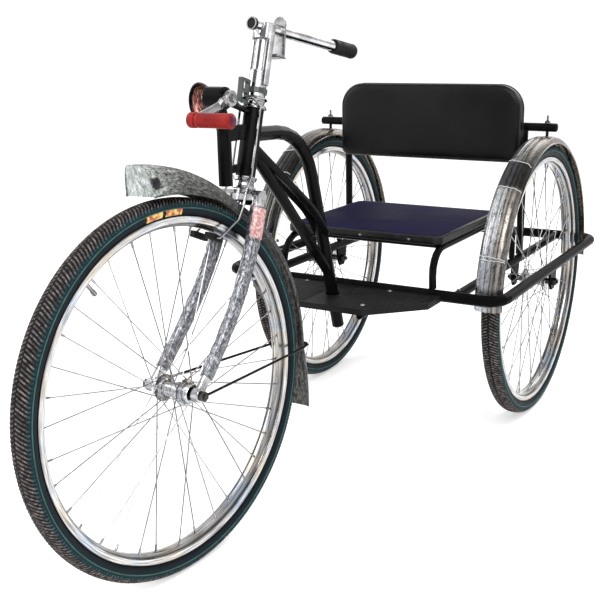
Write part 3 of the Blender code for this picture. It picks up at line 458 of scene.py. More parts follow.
# Painted reflections across a rim's section, the same on both sides of its middle.
RIM_PAINTED_REFLECTIONS = mirrored([
    (0.0, 0.16), (0.045, 0.80), (0.100, 0.92), (0.140, 0.32), (0.190, 0.82), (0.235, 0.20), (0.290, 0.14),
    (0.350, 0.50), (0.420, 0.74), (0.478, 0.58)], 0.956)
CHROME_RIM = ringed_chrome("chrome_rim", RIM_PAINTED_REFLECTIONS, 380.0, 0.30, 0.86)
SPOKE_STEEL = bright_chrome("spoke_steel", 0.0, 0.24, 0.60, (0.22, 0.38))
NUT_STEEL = bright_chrome("nut_steel", 0.0008, 0.14, 0.46, (0.24, 0.44))
DARK_NUT = bright_chrome("dark_nut", 0.0008, 0.02, 0.10, (0.26, 0.46))

# The guards' metal, by how far along them it lies: 0 at the tail, 1 at the other end.
FRONT_RUN = math.radians(GUARD_TIP - GUARD_TAIL) * (GUARD_R + 0.010)
FRONT_LENGTHS = [(0.0, 0.26), (0.80, (0.24, 0.24, 0.235)), (0.90, (0.34, 0.335, 0.33)),
                 (0.955, (0.60, 0.61, 0.60)), (1.0, (0.95, 1.0, 0.98))]
GUARD_FRONT = wrapped_chrome("front_guard_metal", 130.0, 0.040, (0.34, 0.345, 0.33), (0.92, 0.92, 0.90), 0.50,
                             FRONT_RUN, FRONT_LENGTHS)
GUARD_NOSE = wrapped_chrome("front_guard_nose", 120.0, (0.22, 0.25, 0.25), (0.50, 0.55, 0.53),
                            (0.88, 0.90, 0.90), 0.6)
REAR_RUN = math.radians(REAR_SWEEP) * REAR_GUARD_R
REAR_TOP = [(0.0, (0.50, 0.48, 0.45)), (0.34, (0.62, 0.58, 0.52)), (0.52, (0.66, 0.60, 0.54)),
            (0.58, (0.30, 0.29, 0.28)), (0.655, 0.26), (0.663, (0.055, 0.057, 0.060)),
            (0.732, (0.075, 0.078, 0.080))]
GUARD_LEFT = rear_guard_metal("rear_guard_left_metal", REAR_TOP + [
    (0.741, (0.68, 0.69, 0.69)), (0.888, (0.64, 0.65, 0.68)), (0.896, (0.52, 0.54, 0.58)),
    (1.0, (0.64, 0.66, 0.70))])
GUARD_RIGHT = rear_guard_metal("rear_guard_right_metal", REAR_TOP + [
    (0.741, (0.10, 0.105, 0.10)), (0.860, (0.13, 0.135, 0.13)), (0.888, (0.20, 0.24, 0.36)),
    (0.93, (0.30, 0.36, 0.56)), (1.0, (0.60, 0.62, 0.66))])
WRAP = wrapped_chrome("fork_wrapping", 190.0, (0.040, 0.042, 0.050), (0.18, 0.185, 0.205),
                      (0.70, 0.71, 0.75), 0.45)
TAPE = gloss_plastic("wrap_edge", (0.66, 0.67, 0.66), 0.30, 0.5, 200.0)

TYRE_RUBBER = tyre_skin("tyre_rubber")
TREAD_RUBBER = tread_skin("tread_rubber", (0.016, 0.014, 0.014), (0.090, 0.076, 0.074), (0.250, 0.212, 0.205))
SHOULDER_RUBBER = tread_skin("shoulder_rubber", (0.010, 0.020, 0.026), (0.026, 0.060, 0.074),
                             (0.060, 0.120, 0.140))
LINE_GREEN = gloss_plastic("sidewall_green", (0.050, 0.125, 0.118), 0.5, 0.2)
PAD_RUBBER = rubber("brake_pad_rubber", (0.010, 0.009, 0.009))
GRIP_RUBBER = rubber("grip_rubber", (0.008, 0.008, 0.009), 0.5)
BLACK_VINYL = vinyl("backrest_vinyl", (0.0042, 0.0039, 0.0040), 0.38)
PIPING = gloss_plastic("piping_black", 0.006, 0.20, 0.50)
NAVY_VINYL = vinyl("seat_vinyl", (0.0095, 0.0085, 0.0330), 0.58, 520.0, 0.025)
EDGE_BLACK = gloss_plastic("seat_edge_black", 0.006, 0.34, 0.20)
BOARD_BLACK = vinyl("footboard_black", (0.0060, 0.0060, 0.0066), 0.44, 260.0)
LAMP_BLACK = gloss_plastic("lamp_black", 0.006, 0.20, 0.25)
LEVER_GREY = gloss_plastic("lever_grey", (0.045, 0.055, 0.052), 0.30, 0.6, 90.0)
COPPER = copper_inside()
RED = gloss_plastic("handle_red", (0.270, 0.010, 0.009), 0.38, 0.20, 34.0)
DARK_END = gloss_plastic("handle_end_dark", (0.110, 0.012, 0.045), 0.40, 0.3)
PINK_LABEL = label_print("fork_patch", (0.50, 0.20, 0.20), (0.66, 0.33, 0.31), (0.84, 0.68, 0.66), 190.0)
TYRE_PATCH = label_print("tyre_patch", (0.42, 0.045, 0.015), (0.74, 0.34, 0.05), (0.86, 0.66, 0.16), 110.0)
REFLECTOR = gloss_plastic("dark_reflector", (0.010, 0.007, 0.010), 0.18, 0.3)


# Mesh helpers.
def spaced(start, end, count):
    """Evenly spaced values from start to end, both included."""
    return [start + (end - start) * i / count for i in range(count + 1)]


def circle(count):
    return [2 * math.pi * k / count for k in range(count)]


def both_sides(half):
    """A whole section as (radius, x), from the half of it that starts in the middle."""
    return [(r, -x) for r, x in reversed(half[1:])] + half


class Shape:
    """Vertices, faces and flows of several forms that make one piece.

    A flow is where a corner lies: metres along its form, metres round it, and its share of the way round.
    """

    def __init__(self):
        self.verts = []
        self.faces = []
        self.flows = []

    def grid(self, rings, closed=False):
        start = len(self.verts)
        count = len(rings[0])
        for ring in rings:
            self.verts.extend(Vector(p) for p in ring)
        steps = len(rings) if closed else len(rings) - 1
        widest = max(rings, key=lambda ring: (Vector(ring[0]) - Vector(ring[count // 2])).length)
        girth = [0.0]
        for j in range(count):
            girth.append(girth[-1] + (Vector(widest[(j + 1) % count]) - Vector(widest[j])).length)
        along = 0.0
        for i in range(steps):
            a = start + i * count
            b = start + ((i + 1) % len(rings)) * count
            probes = range(0, count, max(1, count // 8))
            ahead = along + max((self.verts[b + j] - self.verts[a + j]).length for j in probes)
            for j in range(count):
                k = (j + 1) % count
                self.faces.append((a + j, a + k, b + k, b + j))
                self.flows += [(along, girth[j], j / count), (along, girth[j + 1], (j + 1) / count),
                               (ahead, girth[j + 1], (j + 1) / count), (ahead, girth[j], j / count)]
            along = ahead
        if not closed:
            last = start + (len(rings) - 1) * count
            self.faces.append(tuple(range(start, start + count))[::-1])
            self.faces.append(tuple(range(last, last + count)))
            self.flows += [(0.0, girth[j], j / count) for j in reversed(range(count))]
            self.flows += [(along, girth[j], j / count) for j in range(count)]
        return self

    def lathe(self, profile, centre, axis, steps, closed=True):
        """Turn (radius, along) about an axis: a closed profile gives a ring, an open one a capped solid."""
        axis = axis.normalized()
        guide = UP if abs(axis.z) < 0.9 else Vector((0.0, 1.0, 0.0))
        side = (guide - axis * guide.dot(axis)).normalized()
        other = axis.cross(side)
        centre = Vector(centre)
        outs = [side * math.cos(angle) + other * math.sin(angle) for angle in circle(steps)]
        if closed:
            return self.grid([[centre + out * r + axis * a for r, a in profile] for out in outs], True)
        return self.grid([[centre + out * max(r, 1e-5) + axis * a for out in outs] for r, a in profile])

    def rod(self, start, end, radius, sides=10):
        start = Vector(start)
        end = Vector(end)
        return self.lathe([(radius, 0.0), (radius, (end - start).length)], start, end - start, sides, False)

    def tube(self, path, radius, sides=10, closed=False):
        """A round bar along a smooth path, its sections turned as little as possible from one to the next."""
        path = [Vector(p) for p in path]
        total = len(path)
        side = None
        rings = []
        for i, point in enumerate(path):
            before = path[(i - 1) % total] if (i > 0 or closed) else point
            after = path[(i + 1) % total] if (i < total - 1 or closed) else point
            along = (after - before).normalized()
            if side is None:
                guide = UP if abs(along.z) < 0.8 else X_AXIS
                side = guide.cross(along).normalized()
            side = (side - along * side.dot(along)).normalized()
            other = along.cross(side)
            rings.append([point + (side * math.cos(a) + other * math.sin(a)) * radius for a in circle(sides)])
        return self.grid(rings, closed)

    def dome(self, at, way, radius, high, sides=12):
        """A domed bolt head or cap."""
        profile = [(radius, 0.0), (radius, high * 0.45), (radius * 0.86, high * 0.75),
                   (radius * 0.5, high * 0.95), (0.0, high)]
        return self.lathe(profile, at, Vector(way), sides, False)

    def nut(self, at, way, radius, high):
        """A hexagon on a round washer."""
        self.lathe([(radius * 1.25, 0.0), (radius * 1.25, high * 0.14)], at, Vector(way), 16, False)
        hexagon = [(radius, high * 0.13), (radius, high * 0.94), (radius * 0.9, high)]
        return self.lathe(hexagon, at, Vector(way), 6, False)

    def piece(self, name, material, matrix=None, sharp=32.0):
        verts = self.verts if matrix is None else [matrix @ v for v in self.verts]
        mesh = bpy.data.meshes.new(name)
        mesh.from_pydata([tuple(v) for v in verts], [], self.faces)
        if len(self.flows) == len(mesh.loops):
            layer = mesh.attributes.new("flow", "FLOAT_VECTOR", "CORNER")
            layer.data.foreach_set("vector", [value for flow in self.flows for value in flow])
        mesh.validate()
        mesh.polygons.foreach_set("use_smooth", [True] * len(mesh.polygons))
        mesh.set_sharp_from_angle(angle=math.radians(sharp))
        mesh.materials.append(material)
        made = bpy.data.objects.new(name, mesh)
        bpy.context.scene.collection.objects.link(made)
        return made


def around(hub, radius, angle, x=0.0):
    """A point around a hub. Angles are in degrees from straight back, up and over to the front."""
    turn = math.radians(angle)
    return Vector(hub) + Vector((x, math.cos(turn) * radius, math.sin(turn) * radius))


def on_wheel(radius, angle, x=0.0):
    return around((0, 0, 0), radius, angle, x)


def on_axis(along, forward=0.0):
    """A point by its distance up the steering axis and in front of it, with the steering straight."""
    return AXIS_FOOT + STEER_DIR * along + STEER_FRONT * forward


def paint_node(node, material):
    mesh = frame["nodes"][node].data
    mesh.materials.clear()
    mesh.materials.append(material)


# Wheels: tyre with a chevron tread, rim, laced spokes and hub.
TYRE_STEPS = 144
CHEVRONS = 288
CHEVRON_LEAN = 1.5
LUG_ROOT = 0.0008
LUG_TOP = 0.0010
RIB_ROOT = 0.0006
RIB_TOP = 0.0007
SPOKE_R = 0.00115
TYRE_WIDEST_R = 0.3410
WIDEST_T = 0.45


def tyre_outline(t):
    """Half section of a tyre as (radius, x); t runs from the seat at 0 to the middle of the tread at 1."""
    if t < WIDEST_T:
        a = math.pi / 2 * (1 - t / WIDEST_T)
        r = TYRE_WIDEST_R - (TYRE_WIDEST_R - TYRE_SEAT_R) * math.sin(a)
        return r, TYRE_HALF * (0.62 + 0.38 * math.cos(a))
    a = math.pi / 2 * (t - WIDEST_T) / (1 - WIDEST_T)
    return TYRE_WIDEST_R + (WHEEL_R - LUG_ROOT - TYRE_WIDEST_R) * math.sin(a), TYRE_HALF * math.cos(a) ** 0.8


def build_tyre(tag, matrix):
    half = [(WHEEL_R - LUG_ROOT, 0.0)] + [tyre_outline(k / 12) for k in reversed(range(12))]
    tyre = Shape().lathe(both_sides(half), (0, 0, 0), X_AXIS, TYRE_STEPS)
    return tyre.piece("tyre_" + tag, TYRE_RUBBER, matrix, 60.0)


def build_tread(tag, matrix):
    """Fine ribs in a chevron pattern over the crown."""
    tread = Shape()
    pitch = 360.0 / CHEVRONS
    for i in range(CHEVRONS):
        for way in (-1, 1):
            rings = []
            for out in spaced(0.0, 1.0, 4):
                r, x = tyre_outline(0.98 - 0.40 * out)
                angle = pitch * (i + CHEVRON_LEAN * out + (0.5 if way > 0 else 0.0))
                ring = []
                for lift, lag in ((-LUG_ROOT, 0.0), (LUG_TOP, 0.08), (LUG_TOP, 0.44), (-LUG_ROOT, 0.52)):
                    high = r + lift * (1.0 - 0.5 * out)
                    ring.append(on_wheel(high, angle + pitch * lag, way * x * (1.0 + lift * 12)))
                rings.append(ring if way > 0 else ring[::-1])
            tread.grid(rings)
    return tread.piece("tread_" + tag, TREAD_RUBBER, matrix, 25.0)


def build_shoulder(tag, matrix):
    """A row of fine straight ribs below the chevrons on each side."""
    ribs = Shape()
    pitch = 360.0 / CHEVRONS
    for i in range(CHEVRONS):
        for way in (-1, 1):
            rings = []
            for t in (0.585, 0.53, 0.475):
                r, x = tyre_outline(t)
                ring = []
                for lift, lag in ((-RIB_ROOT, 0.0), (RIB_TOP, 0.10), (RIB_TOP, 0.45), (-RIB_ROOT, 0.55)):
                    ring.append(on_wheel(r + lift * 0.5, pitch * (i + lag), way * (x + lift)))
                rings.append(ring if way > 0 else ring[::-1])
            ribs.grid(rings)
    return ribs.piece("shoulder_ribs_" + tag, SHOULDER_RUBBER, matrix, 25.0)


def build_lines(tag, matrix):
    lines = Shape()
    r, x = tyre_outline(0.40)
    for way in (-1, 1):
        lines.tube([on_wheel(r, 360.0 * i / 120, way * x) for i in range(120)], 0.0012, 6, True)
    return lines.piece("sidewall_line_" + tag, LINE_GREEN, matrix)


def build_rim(tag, matrix, hub_half):
    """The rim, with a raised band in its middle, and the hub with its two flanges."""
    half = [(0.0, 0.0), (0.0002, 0.0045), (0.0012, 0.0070), (0.0040, 0.0088), (0.0068, 0.0102),
            (0.0078, 0.0122), (0.0070, 0.0145), (0.0068, 0.0160), (0.0080, RIM_HALF - 0.0003)]
    half = [(RIM_R_IN + up, x) for up, x in half + [(0.0100, RIM_HALF)]]
    half += [(RIM_R_OUT - 0.0012, RIM_HALF), (RIM_R_OUT, RIM_HALF - 0.0008)]
    rim = Shape().lathe(both_sides(half), (0, 0, 0), X_AXIS, TYRE_STEPS)
    at = HUB_FLANGE_X
    hub = [(0.0136, 0.0), (0.0140, 0.008), (0.0155, at - 0.005), (0.0190, at - 0.002),
           (HUB_FLANGE_R - 0.0005, at - 0.001), (HUB_FLANGE_R, at), (HUB_FLANGE_R - 0.0005, at + 0.002),
           (0.0200, at + 0.0025), (0.0180, at + 0.004), (0.0180, hub_half - 0.002), (0.0165, hub_half),
           (0.0054, hub_half)]
    rim.lathe(both_sides(hub), (0, 0, 0), X_AXIS, 40)
    return rim.piece("rim_" + tag, CHROME_RIM, matrix, 28.0)


def build_spokes(tag, matrix):
    """The spokes, half to each flange, each crossing three others, with their heads and nipples."""
    laced = Shape()
    for i in range(SPOKES):
        flank = -1 if i % 2 else 1
        lead = 1 if (i // 2) % 2 else -1
        angle = 360.0 * (i + 0.5) / SPOKES
        low = on_wheel(HUB_FLANGE_R - 0.0045, angle + 64.0 * lead, flank * (HUB_FLANGE_X + 0.0015 * lead))
        high = on_wheel(RIM_R_IN + 0.004, angle, flank * 0.004)
        laced.rod(low, high, SPOKE_R, 6)
        way = (high - low).normalized()
        laced.lathe([(0.0013, 0.0), (0.0021, 0.002), (0.0023, 0.013)], high - way * 0.0150, way, 8, False)
        laced.dome(low, (flank * lead, 0, 0), 0.0021, 0.0016, 8)
    return laced.piece("spokes_" + tag, SPOKE_STEEL, matrix)


def build_valve(tag, matrix, angle):
    profile = [(0.0055, -0.001), (0.0055, 0.0022), (0.0036, 0.0026), (0.0036, 0.020), (0.0045, 0.0205),
               (0.0045, 0.0290), (0.0030, 0.0305)]
    valve = Shape().lathe(profile, on_wheel(RIM_R_IN + 0.001, angle), -on_wheel(1.0, angle), 14, False)
    return valve.piece("valve_" + tag, NUT_STEEL, matrix)


FRONT_WHEEL = STEERED @ Matrix.Translation(FRONT_HUB)
LEFT_WHEEL = Matrix.Translation(LEFT_HUB)
RIGHT_WHEEL = Matrix.Translation(RIGHT_HUB)
WHEELS = (
    ("front", "front_wheel", "front_tyre", "front_wheel_rim", FRONT_WHEEL, 127.0),
    ("rear_left", "rear_wheel_left", "rear_tyre_left", "rear_wheel_rim_left", LEFT_WHEEL, 205.0),
    ("rear_right", "rear_wheel_right", "rear_tyre_right", "rear_wheel_rim_right", RIGHT_WHEEL, 160.0),
)
for tag, body, tyre_node, rim_node, matrix, valve_angle in WHEELS:
    hub_half = FRONT_HUB_HALF if tag == "front" else REAR_HUB_HALF
    tyre = build_tyre(tag, matrix)
    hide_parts(tyre_node)
    rim = build_rim(tag, matrix, hub_half)
    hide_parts(rim_node)
    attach(tyre, body)
    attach(rim, body)
    for part in (build_tread(tag, matrix), build_shoulder(tag, matrix)):
        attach(part, body)
    for part in (build_lines(tag, matrix), build_spokes(tag, matrix), build_valve(tag, matrix, valve_angle)):
        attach(part, body)


def sidewall_patch(name, start, end, inner, outer, material):
    """A thin blank patch on the left wall of the front tyre, between two angles and two heights."""
    rings = []
    for angle in spaced(start, end, 14):
        wall = [tyre_outline(t) for t in spaced(inner, outer, 4)]
        front = [on_wheel(r, angle, x + 0.0007) for r, x in wall]
        back = [on_wheel(r, angle, x - 0.0004) for r, x in reversed(wall)]
        rings.append(front + back)
    made = Shape().grid(rings).piece(name, material, FRONT_WHEEL, 50.0)
    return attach(made, "front_wheel")


sidewall_patch("tyre_patch_front", 92.6, 99.4, 0.16, 0.40, TYRE_PATCH)
sidewall_patch("tyre_patch_rear", 84.2, 91.2, 0.16, 0.40, TYRE_PATCH)


# Mudguards.
SHEET_THICK = 0.0016


def guard_curve(u):
    """How far the guard falls away at u, from 0 at its middle to 1 at its edge, as a share of its lip."""
    return max(0.0, (abs(u) - 0.30) / 0.70) ** 4


def build_guard(hub, angles, radius_at, half_at, lip_at, ribs, bead):
    """A guard of sheet metal with ribs (place across, height) along it and a bead along both edges."""
    rings = []
    for angle in angles:
        half = half_at(angle)
        outer = []
        for u in spaced(-1.0, 1.0, 24):
            r = radius_at(angle) - lip_at(angle) * guard_curve(u)
            for rib_at, rib_high in ribs:
                r += rib_high * math.exp(-((u - rib_at) / 0.07) ** 2)
            outer.append((r, u * half))
        inner = [(r - SHEET_THICK, x * (1 - SHEET_THICK / half * 0.6)) for r, x in reversed(outer)]
        rings.append([around(hub, r, angle, x) for r, x in outer + inner])
    guard = Shape().grid(rings)
    for way in (-1, 1):
        guard.tube([around(hub, radius_at(a) - lip_at(a) + bead * 0.4, a, way * (half_at(a) - bead * 0.2))
                    for a in angles], bead, 6)
    return guard


def front_lift(angle):
    return max(0.0, (angle - FLARE_FROM) / (GUARD_TIP - FLARE_FROM))


def front_radius(angle):
    tail = max(0.0, (angle - TAIL_FROM) / (GUARD_TAIL - TAIL_FROM))
    return GUARD_R + TIP_FLARE * front_lift(angle) ** 1.1 + TAIL_FLARE * tail ** 1.2


def front_half(angle):
    return FRONT_HALF + TIP_WIDER * front_lift(angle)


def front_lip(angle):
    return GUARD_LIP + TIP_SKIRT * front_lift(angle)


guard = build_guard(FRONT_HUB, spaced(GUARD_TAIL, GUARD_TIP, 90), front_radius, front_half, front_lip,
                    [(0.0, 0.0010)], 0.0014)
guard = guard.piece("front_guard", GUARD_FRONT, STEERED, 50.0)
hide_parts("front_mudguard")
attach(guard, "steering")

REAR_START = math.degrees(math.acos(STUD_BEHIND_HUB / REAR_GUARD_R)) - STUD_STEPS * REAR_STEP
REAR_RIBS = [(0.0, 0.0016), (-0.42, 0.0012), (0.42, 0.0012)]
for hub, side, metal in ((LEFT_HUB, "left", GUARD_LEFT), (RIGHT_HUB, "right", GUARD_RIGHT)):
    angles = spaced(REAR_START, REAR_START + REAR_SWEEP, 130)
    guard = build_guard(hub, angles, lambda a: REAR_GUARD_R - 0.0008, lambda a: REAR_HALF,
                        lambda a: GUARD_LIP, REAR_RIBS, 0.0015)
    guard = guard.piece("rear_guard_" + side, metal, None, 50.0)
    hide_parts("rear_mudguard_" + side)
    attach(guard, "frame")

# White edges of the clear wrapping rolled round the rear guards, and two of its folds.
WRAP_EDGES = ((117.8, 2.6), (131.8, 1.6), (159.6, 1.0), (160.8, 0.4))
FOLD_FROM = 132.0
FOLD_STEP = 1.15
for hub, side, way in ((LEFT_HUB, "left", 1), (RIGHT_HUB, "right", -1)):
    edges = Shape()
    for angle, lean in WRAP_EDGES:
        path = []
        for u in spaced(-0.94, 0.94, 20):
            wobble = 0.35 * noise.noise(Vector((u * 5.0, angle, way * 3.0)))
            level = REAR_GUARD_R + 0.0006 - GUARD_LIP * guard_curve(u)
            path.append(around(hub, level, angle + way * u * lean * 0.5 + wobble, u * REAR_HALF))
        edges.tube(path, 0.0011, 6)
    for u in (-0.62, -0.10):
        level = REAR_GUARD_R + 0.0003 - GUARD_LIP * guard_curve(u)
        fold = [around(hub, level, FOLD_FROM + FOLD_STEP * k, way * u * REAR_HALF) for k in range(25)]
        edges.tube(fold, 0.0007, 6)
    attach(edges.piece("wrap_edges_" + side, TAPE), "frame")

# The guard's nose: a bulged plate that closes the flared tip.
NOSE_THICK = 0.196
rows = []
tip_r = front_radius(GUARD_TIP)
tip_lip = front_lip(GUARD_TIP)
low = tip_r - tip_lip
for behind in (0.0, NOSE_THICK):
    for v in spaced(0.0, 1.0, 12):
        row = []
        for u in spaced(-1.0, 1.0, 24):
            top = tip_r - 0.0012 - tip_lip * guard_curve(u)
            bulge = 0.85 * (1.0 - u * u) * (0.4 + 0.6 * math.sin(math.pi * min(1.0, v + 0.15)))
            turned = GUARD_TIP - 0.35 + bulge - behind
            radius = top + (min(low, top - 0.0005) - top) * v
            row.append(around(FRONT_HUB, radius, turned, u * (front_half(GUARD_TIP) - 0.0010)))
        rows.append(row)
sheet = [front + back[::-1] for front, back in zip(rows[:13], rows[13:])]
made = Shape().grid(sheet).piece("guard_nose", GUARD_NOSE, STEERED, 50.0)
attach(made, "steering")

# The dark oval near the front guard's tip, and the bolts that hold its stays.
oval_at = around(FRONT_HUB, 0.3905, 95.4)
rings = []
for size, lift in ((1.0, 0.0), (1.0, 0.0022), (0.82, 0.0036), (0.40, 0.0044)):
    rings.append([oval_at + Vector((0.0337 + lift, 0.0072 * size * math.cos(a), 0.0105 * size * math.sin(a)))
                  for a in circle(20)])
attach(Shape().grid(rings).piece("guard_oval", REFLECTOR, STEERED), "steering")
bolts = Shape()
for way in (-1, 1):
    bolts.dome(FRONT_HUB + Vector((way * 0.019, GUARD_R + 0.0020, -0.012)), (0, 1, 0), 0.0050, 0.0045)
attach(bolts.piece("stay_bolts", NUT_STEEL, STEERED), "steering")


# Fork blades in their clear wrapping, with a blank patch on the near one.
def blade_point(way, t, angle, proud):
    """A point on a fork blade's skin: t runs down from the crown, angle goes round its section."""
    crown = on_axis(CROWN_S)
    wide, deep = (top + (foot - top) * t + proud for top, foot in zip(BLADE_TOP, BLADE_FOOT))
    x = way * (BLADE_TOP_X + (BLADE_FOOT_X - BLADE_TOP_X) * t)
    middle = crown.lerp(FRONT_HUB, t) + Vector((x, BLADE_BOW * math.sin(math.pi * t), 0.0))
    slope = BLADE_BOW * math.pi * math.cos(math.pi * t) / BLADE_LONG
    down = (FRONT_HUB - crown).normalized() + Vector((0, slope, 0))
    back = down.normalized().cross(X_AXIS).normalized()
    return middle + X_AXIS * wide * math.cos(angle) + back * deep * math.sin(angle)


for way, side in ((1, "left"), (-1, "right")):
    rings = []
    for t in spaced(0.045, 0.920, 72):
        ring = []
        for a in circle(28):
            rough = noise.noise(Vector((math.cos(a) * 2.0 + way * 9, math.sin(a) * 2.0, t * 26.0)))
            ring.append(blade_point(way, t, a, 0.0024 + 0.0016 * rough))
        rings.append(ring)
    made = Shape().grid(rings).piece("fork_wrap_" + side, WRAP, STEERED, 60.0)
    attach(made, "steering")
rings = []
turns = [math.radians(angle) for angle in spaced(-78.0, 72.0, 12)]
for t in spaced(0.055, 0.220, 14):
    outer = [blade_point(1, t, a, 0.0043) for a in turns]
    inner = [blade_point(1, t, a, 0.0020) for a in reversed(turns)]
    rings.append(outer + inner)
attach(Shape().grid(rings).piece("fork_patch", PINK_LABEL, STEERED, 60.0), "steering")

# Head, headset and tiller fittings: rings round the head as (place, radius, height, sides).
HEAD_RINGS = ((COLUMN_S - 0.0046, 0.0232, 0.0040, 8), (LOW_CUP_S + 0.0007, 0.0236, 0.0036, 40),
              (LOW_CUP_S + 0.0205, 0.0242, 0.0034, 40), (HIGH_CUP_S + 0.0004, 0.0242, 0.0030, 40))
HEAD_RING_IN = 0.0228
fittings = Shape()
for along, radius, high, sides in HEAD_RINGS:
    profile = [(HEAD_RING_IN, 0.0), (radius, 0.0004), (radius, high - 0.0004), (HEAD_RING_IN, high)]
    fittings.lathe(profile, on_axis(along), STEER_DIR, sides)
back = Vector((0.0, math.cos(math.radians(TILLER_DROP)), -math.sin(math.radians(TILLER_DROP))))
lift = X_AXIS.cross(back)
tiller_mid = on_axis(TILLER_S)
fittings.nut(on_axis(TILLER_S - 0.014, 0.0190), STEER_FRONT, 0.0058, 0.006)
fittings.dome(on_axis(TILLER_S + 0.0035), STEER_DIR, 0.0070, 0.0050)
for drop in (0.032, 0.012):
    fittings.dome(tiller_mid + back * (PLATE_BACK + 0.002) - lift * drop, back, 0.0030, 0.0020)
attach(fittings.piece("head_fittings", CHROME_FINE, STEERED, 30.0), "steering")
corner = tiller_mid + back * (PLATE_BACK - 0.0125) + lift * (PLATE_HIGH * 0.35 - PLATE_HIGH - 0.0036)
edge = ((-0.012, 0.0), (0.0165, 0.0), (0.0165, 0.0016), (-0.012, 0.0016))
section = [corner + back * b + lift * u for b, u in edge]
flange = Shape().grid([[point + X_AXIS * x for point in section] for x in (0.0165, -0.0165)])
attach(flange.piece("plate_edge", ENAMEL_PLAIN, STEERED), "steering")


def ribbed_grip(start, way, long, radius, count):
    """A handgrip: fine rings along it, with a rolled shoulder and a domed end."""
    profile = [(radius * 0.80, 0.0), (radius * 0.98, 0.0008), (radius, 0.0030)]
    step = (long - 0.014) / count
    for k in range(count):
        a = 0.006 + step * k
        profile += [(radius, a), (radius, a + step * 0.50), (radius - 0.0009, a + step * 0.62),
                    (radius - 0.0009, a + step * 0.88)]
    profile += [(radius, long - 0.0070), (radius * 1.03, long - 0.0050), (radius * 0.96, long - 0.0018),
                (radius * 0.70, long - 0.0003), (0.0, long)]
    return Shape().lathe(profile, start, way, 28, False)


grip = ribbed_grip(tiller_mid + back * (TILLER_AFT - GRIP_LONG + FIT), back, GRIP_LONG - FIT, GRIP_R, 16)
grip = grip.piece("tiller_grip_ribbed", GRIP_RUBBER, STEERED, 40.0)
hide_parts("tiller_grip")
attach(grip, "steering")
cap_at = tiller_mid - back * (TILLER_FORE + FIT)
cap = Shape().lathe([(0.0117, 0.0), (0.0119, 0.0064), (0.0112, 0.0076), (0.0100, 0.0076), (0.0092, 0.0066),
                     (0.0060, 0.0068), (0.0, 0.0070)], cap_at, -back, 28, False)
cap = cap.piece("tiller_cap_round", GRIP_RUBBER, STEERED)
section = [(0.0118, 0.0066), (0.0124, 0.0070), (0.0121, 0.0080), (0.0102, 0.0080), (0.0098, 0.0072)]
edge_ring = Shape().lathe(section, cap_at, -back, 28)
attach(edge_ring.piece("tiller_end_ring", NUT_STEEL, STEERED), "steering")
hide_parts("tiller_cap")
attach(cap, "steering")

# Crank handle, its ends and the nut of the crank. The handle's inner end is moulded over the arm's eye.
HANDLE_HOLE = 0.0049
INNER_END = -0.0125
handle_at = around(CRANK_AT, -CRANK_ARM, CRANK_REST, ARM_X + EYE_HALF + FIT)
profile = [(HANDLE_HOLE, 0.0)]
for t in spaced(0.0, 1.0, 24)[:-1]:
    waist = 1.0 - 0.05 * math.sin(math.pi * t)
    end = min(1.0, t * 9.0, (1.0 - t) * 11.0 + 0.55)
    profile.append((HANDLE_R * waist * (0.80 + 0.20 * math.sin(math.pi / 2 * end)), HANDLE_LONG * t))
profile += [(HANDLE_R * 0.86, HANDLE_LONG - 0.0006), (HANDLE_R * 0.70, HANDLE_LONG),
            (HANDLE_HOLE, HANDLE_LONG)]
handle = Shape().lathe(profile, handle_at, X_AXIS, 32)
handle.lathe([(0.0, INNER_END - 0.0012), (0.0090, INNER_END - 0.0010), (0.0128, INNER_END),
              (0.0136, INNER_END + 0.0020), (0.0137, INNER_END + 0.0050), (0.0136, -0.0010), (0.0133, 0.0010),
              (0.0, 0.0010)], handle_at, X_AXIS, 32, False)
handle = handle.piece("crank_handle_red", RED, None, 50.0)
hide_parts("crank_grip")
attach(handle, "crank")
ends = Shape().dome(handle_at + X_AXIS * (HANDLE_LONG - 0.0006), X_AXIS, 0.0088, 0.0036, 20)
ends.dome(handle_at + X_AXIS * (INNER_END - 0.0008), -X_AXIS, 0.0100, 0.0014, 20)
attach(ends.piece("crank_handle_end", DARK_END), "crank")
bolts = Shape().nut(CRANK_AT + X_AXIS * CRANK_BOSS_X, X_AXIS, 0.0072, 0.0050)
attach(bolts.piece("crank_bolts", NUT_STEEL), "crank")

# Lamp: bell with a rolled rim, copper bowl and bulb. Profiles are shares of the lamp's radius and length.
MOUTH = 0.955
BULB_AT = 0.545
lamp_dir = Vector((-math.sin(math.radians(LAMP_TURN)), -math.cos(math.radians(LAMP_TURN)), 0.0))
lamp_at = CRANK_AT + LAMP_FROM_CRANK
bell = [(0.0, -0.02), (0.14, -0.012), (0.24, 0.02), (0.345, 0.05), (0.37, 0.09), (0.375, 0.38), (0.40, 0.46),
        (0.50, 0.56), (0.64, 0.66), (0.80, 0.76), (0.93, 0.86), (0.98, 0.92), (1.0, 0.97), (1.0, 1.0),
        (MOUTH, 1.0), (0.945, 0.985)]
inner = [(MOUTH, 0.985), (0.90, 0.90), (0.74, 0.77), (0.56, 0.66), (0.38, 0.58), (0.20, 0.55), (0.0, BULB_AT)]
back_side = [(r + 0.020, a - 0.020) for r, a in inner[1:-1]] + [(0.0, 0.515)]
profile = [(LAMP_R * r, LAMP_LONG * a) for r, a in bell + back_side]
shell = Shape().lathe(profile, lamp_at, lamp_dir, 48, False)
bends = ((0.008, -0.020, -0.001), (0.020, -0.036, -0.003), (0.033, -0.060, 0.001))
shell_end = ((-0.0155, 0.034, -0.004), (-0.0140, 0.0212, -0.004))
arm = [lamp_at + lamp_dir * 0.014]
arm += [lamp_at + Vector(p) for p in bends] + [CRANK_AT + Vector(p) for p in shell_end]


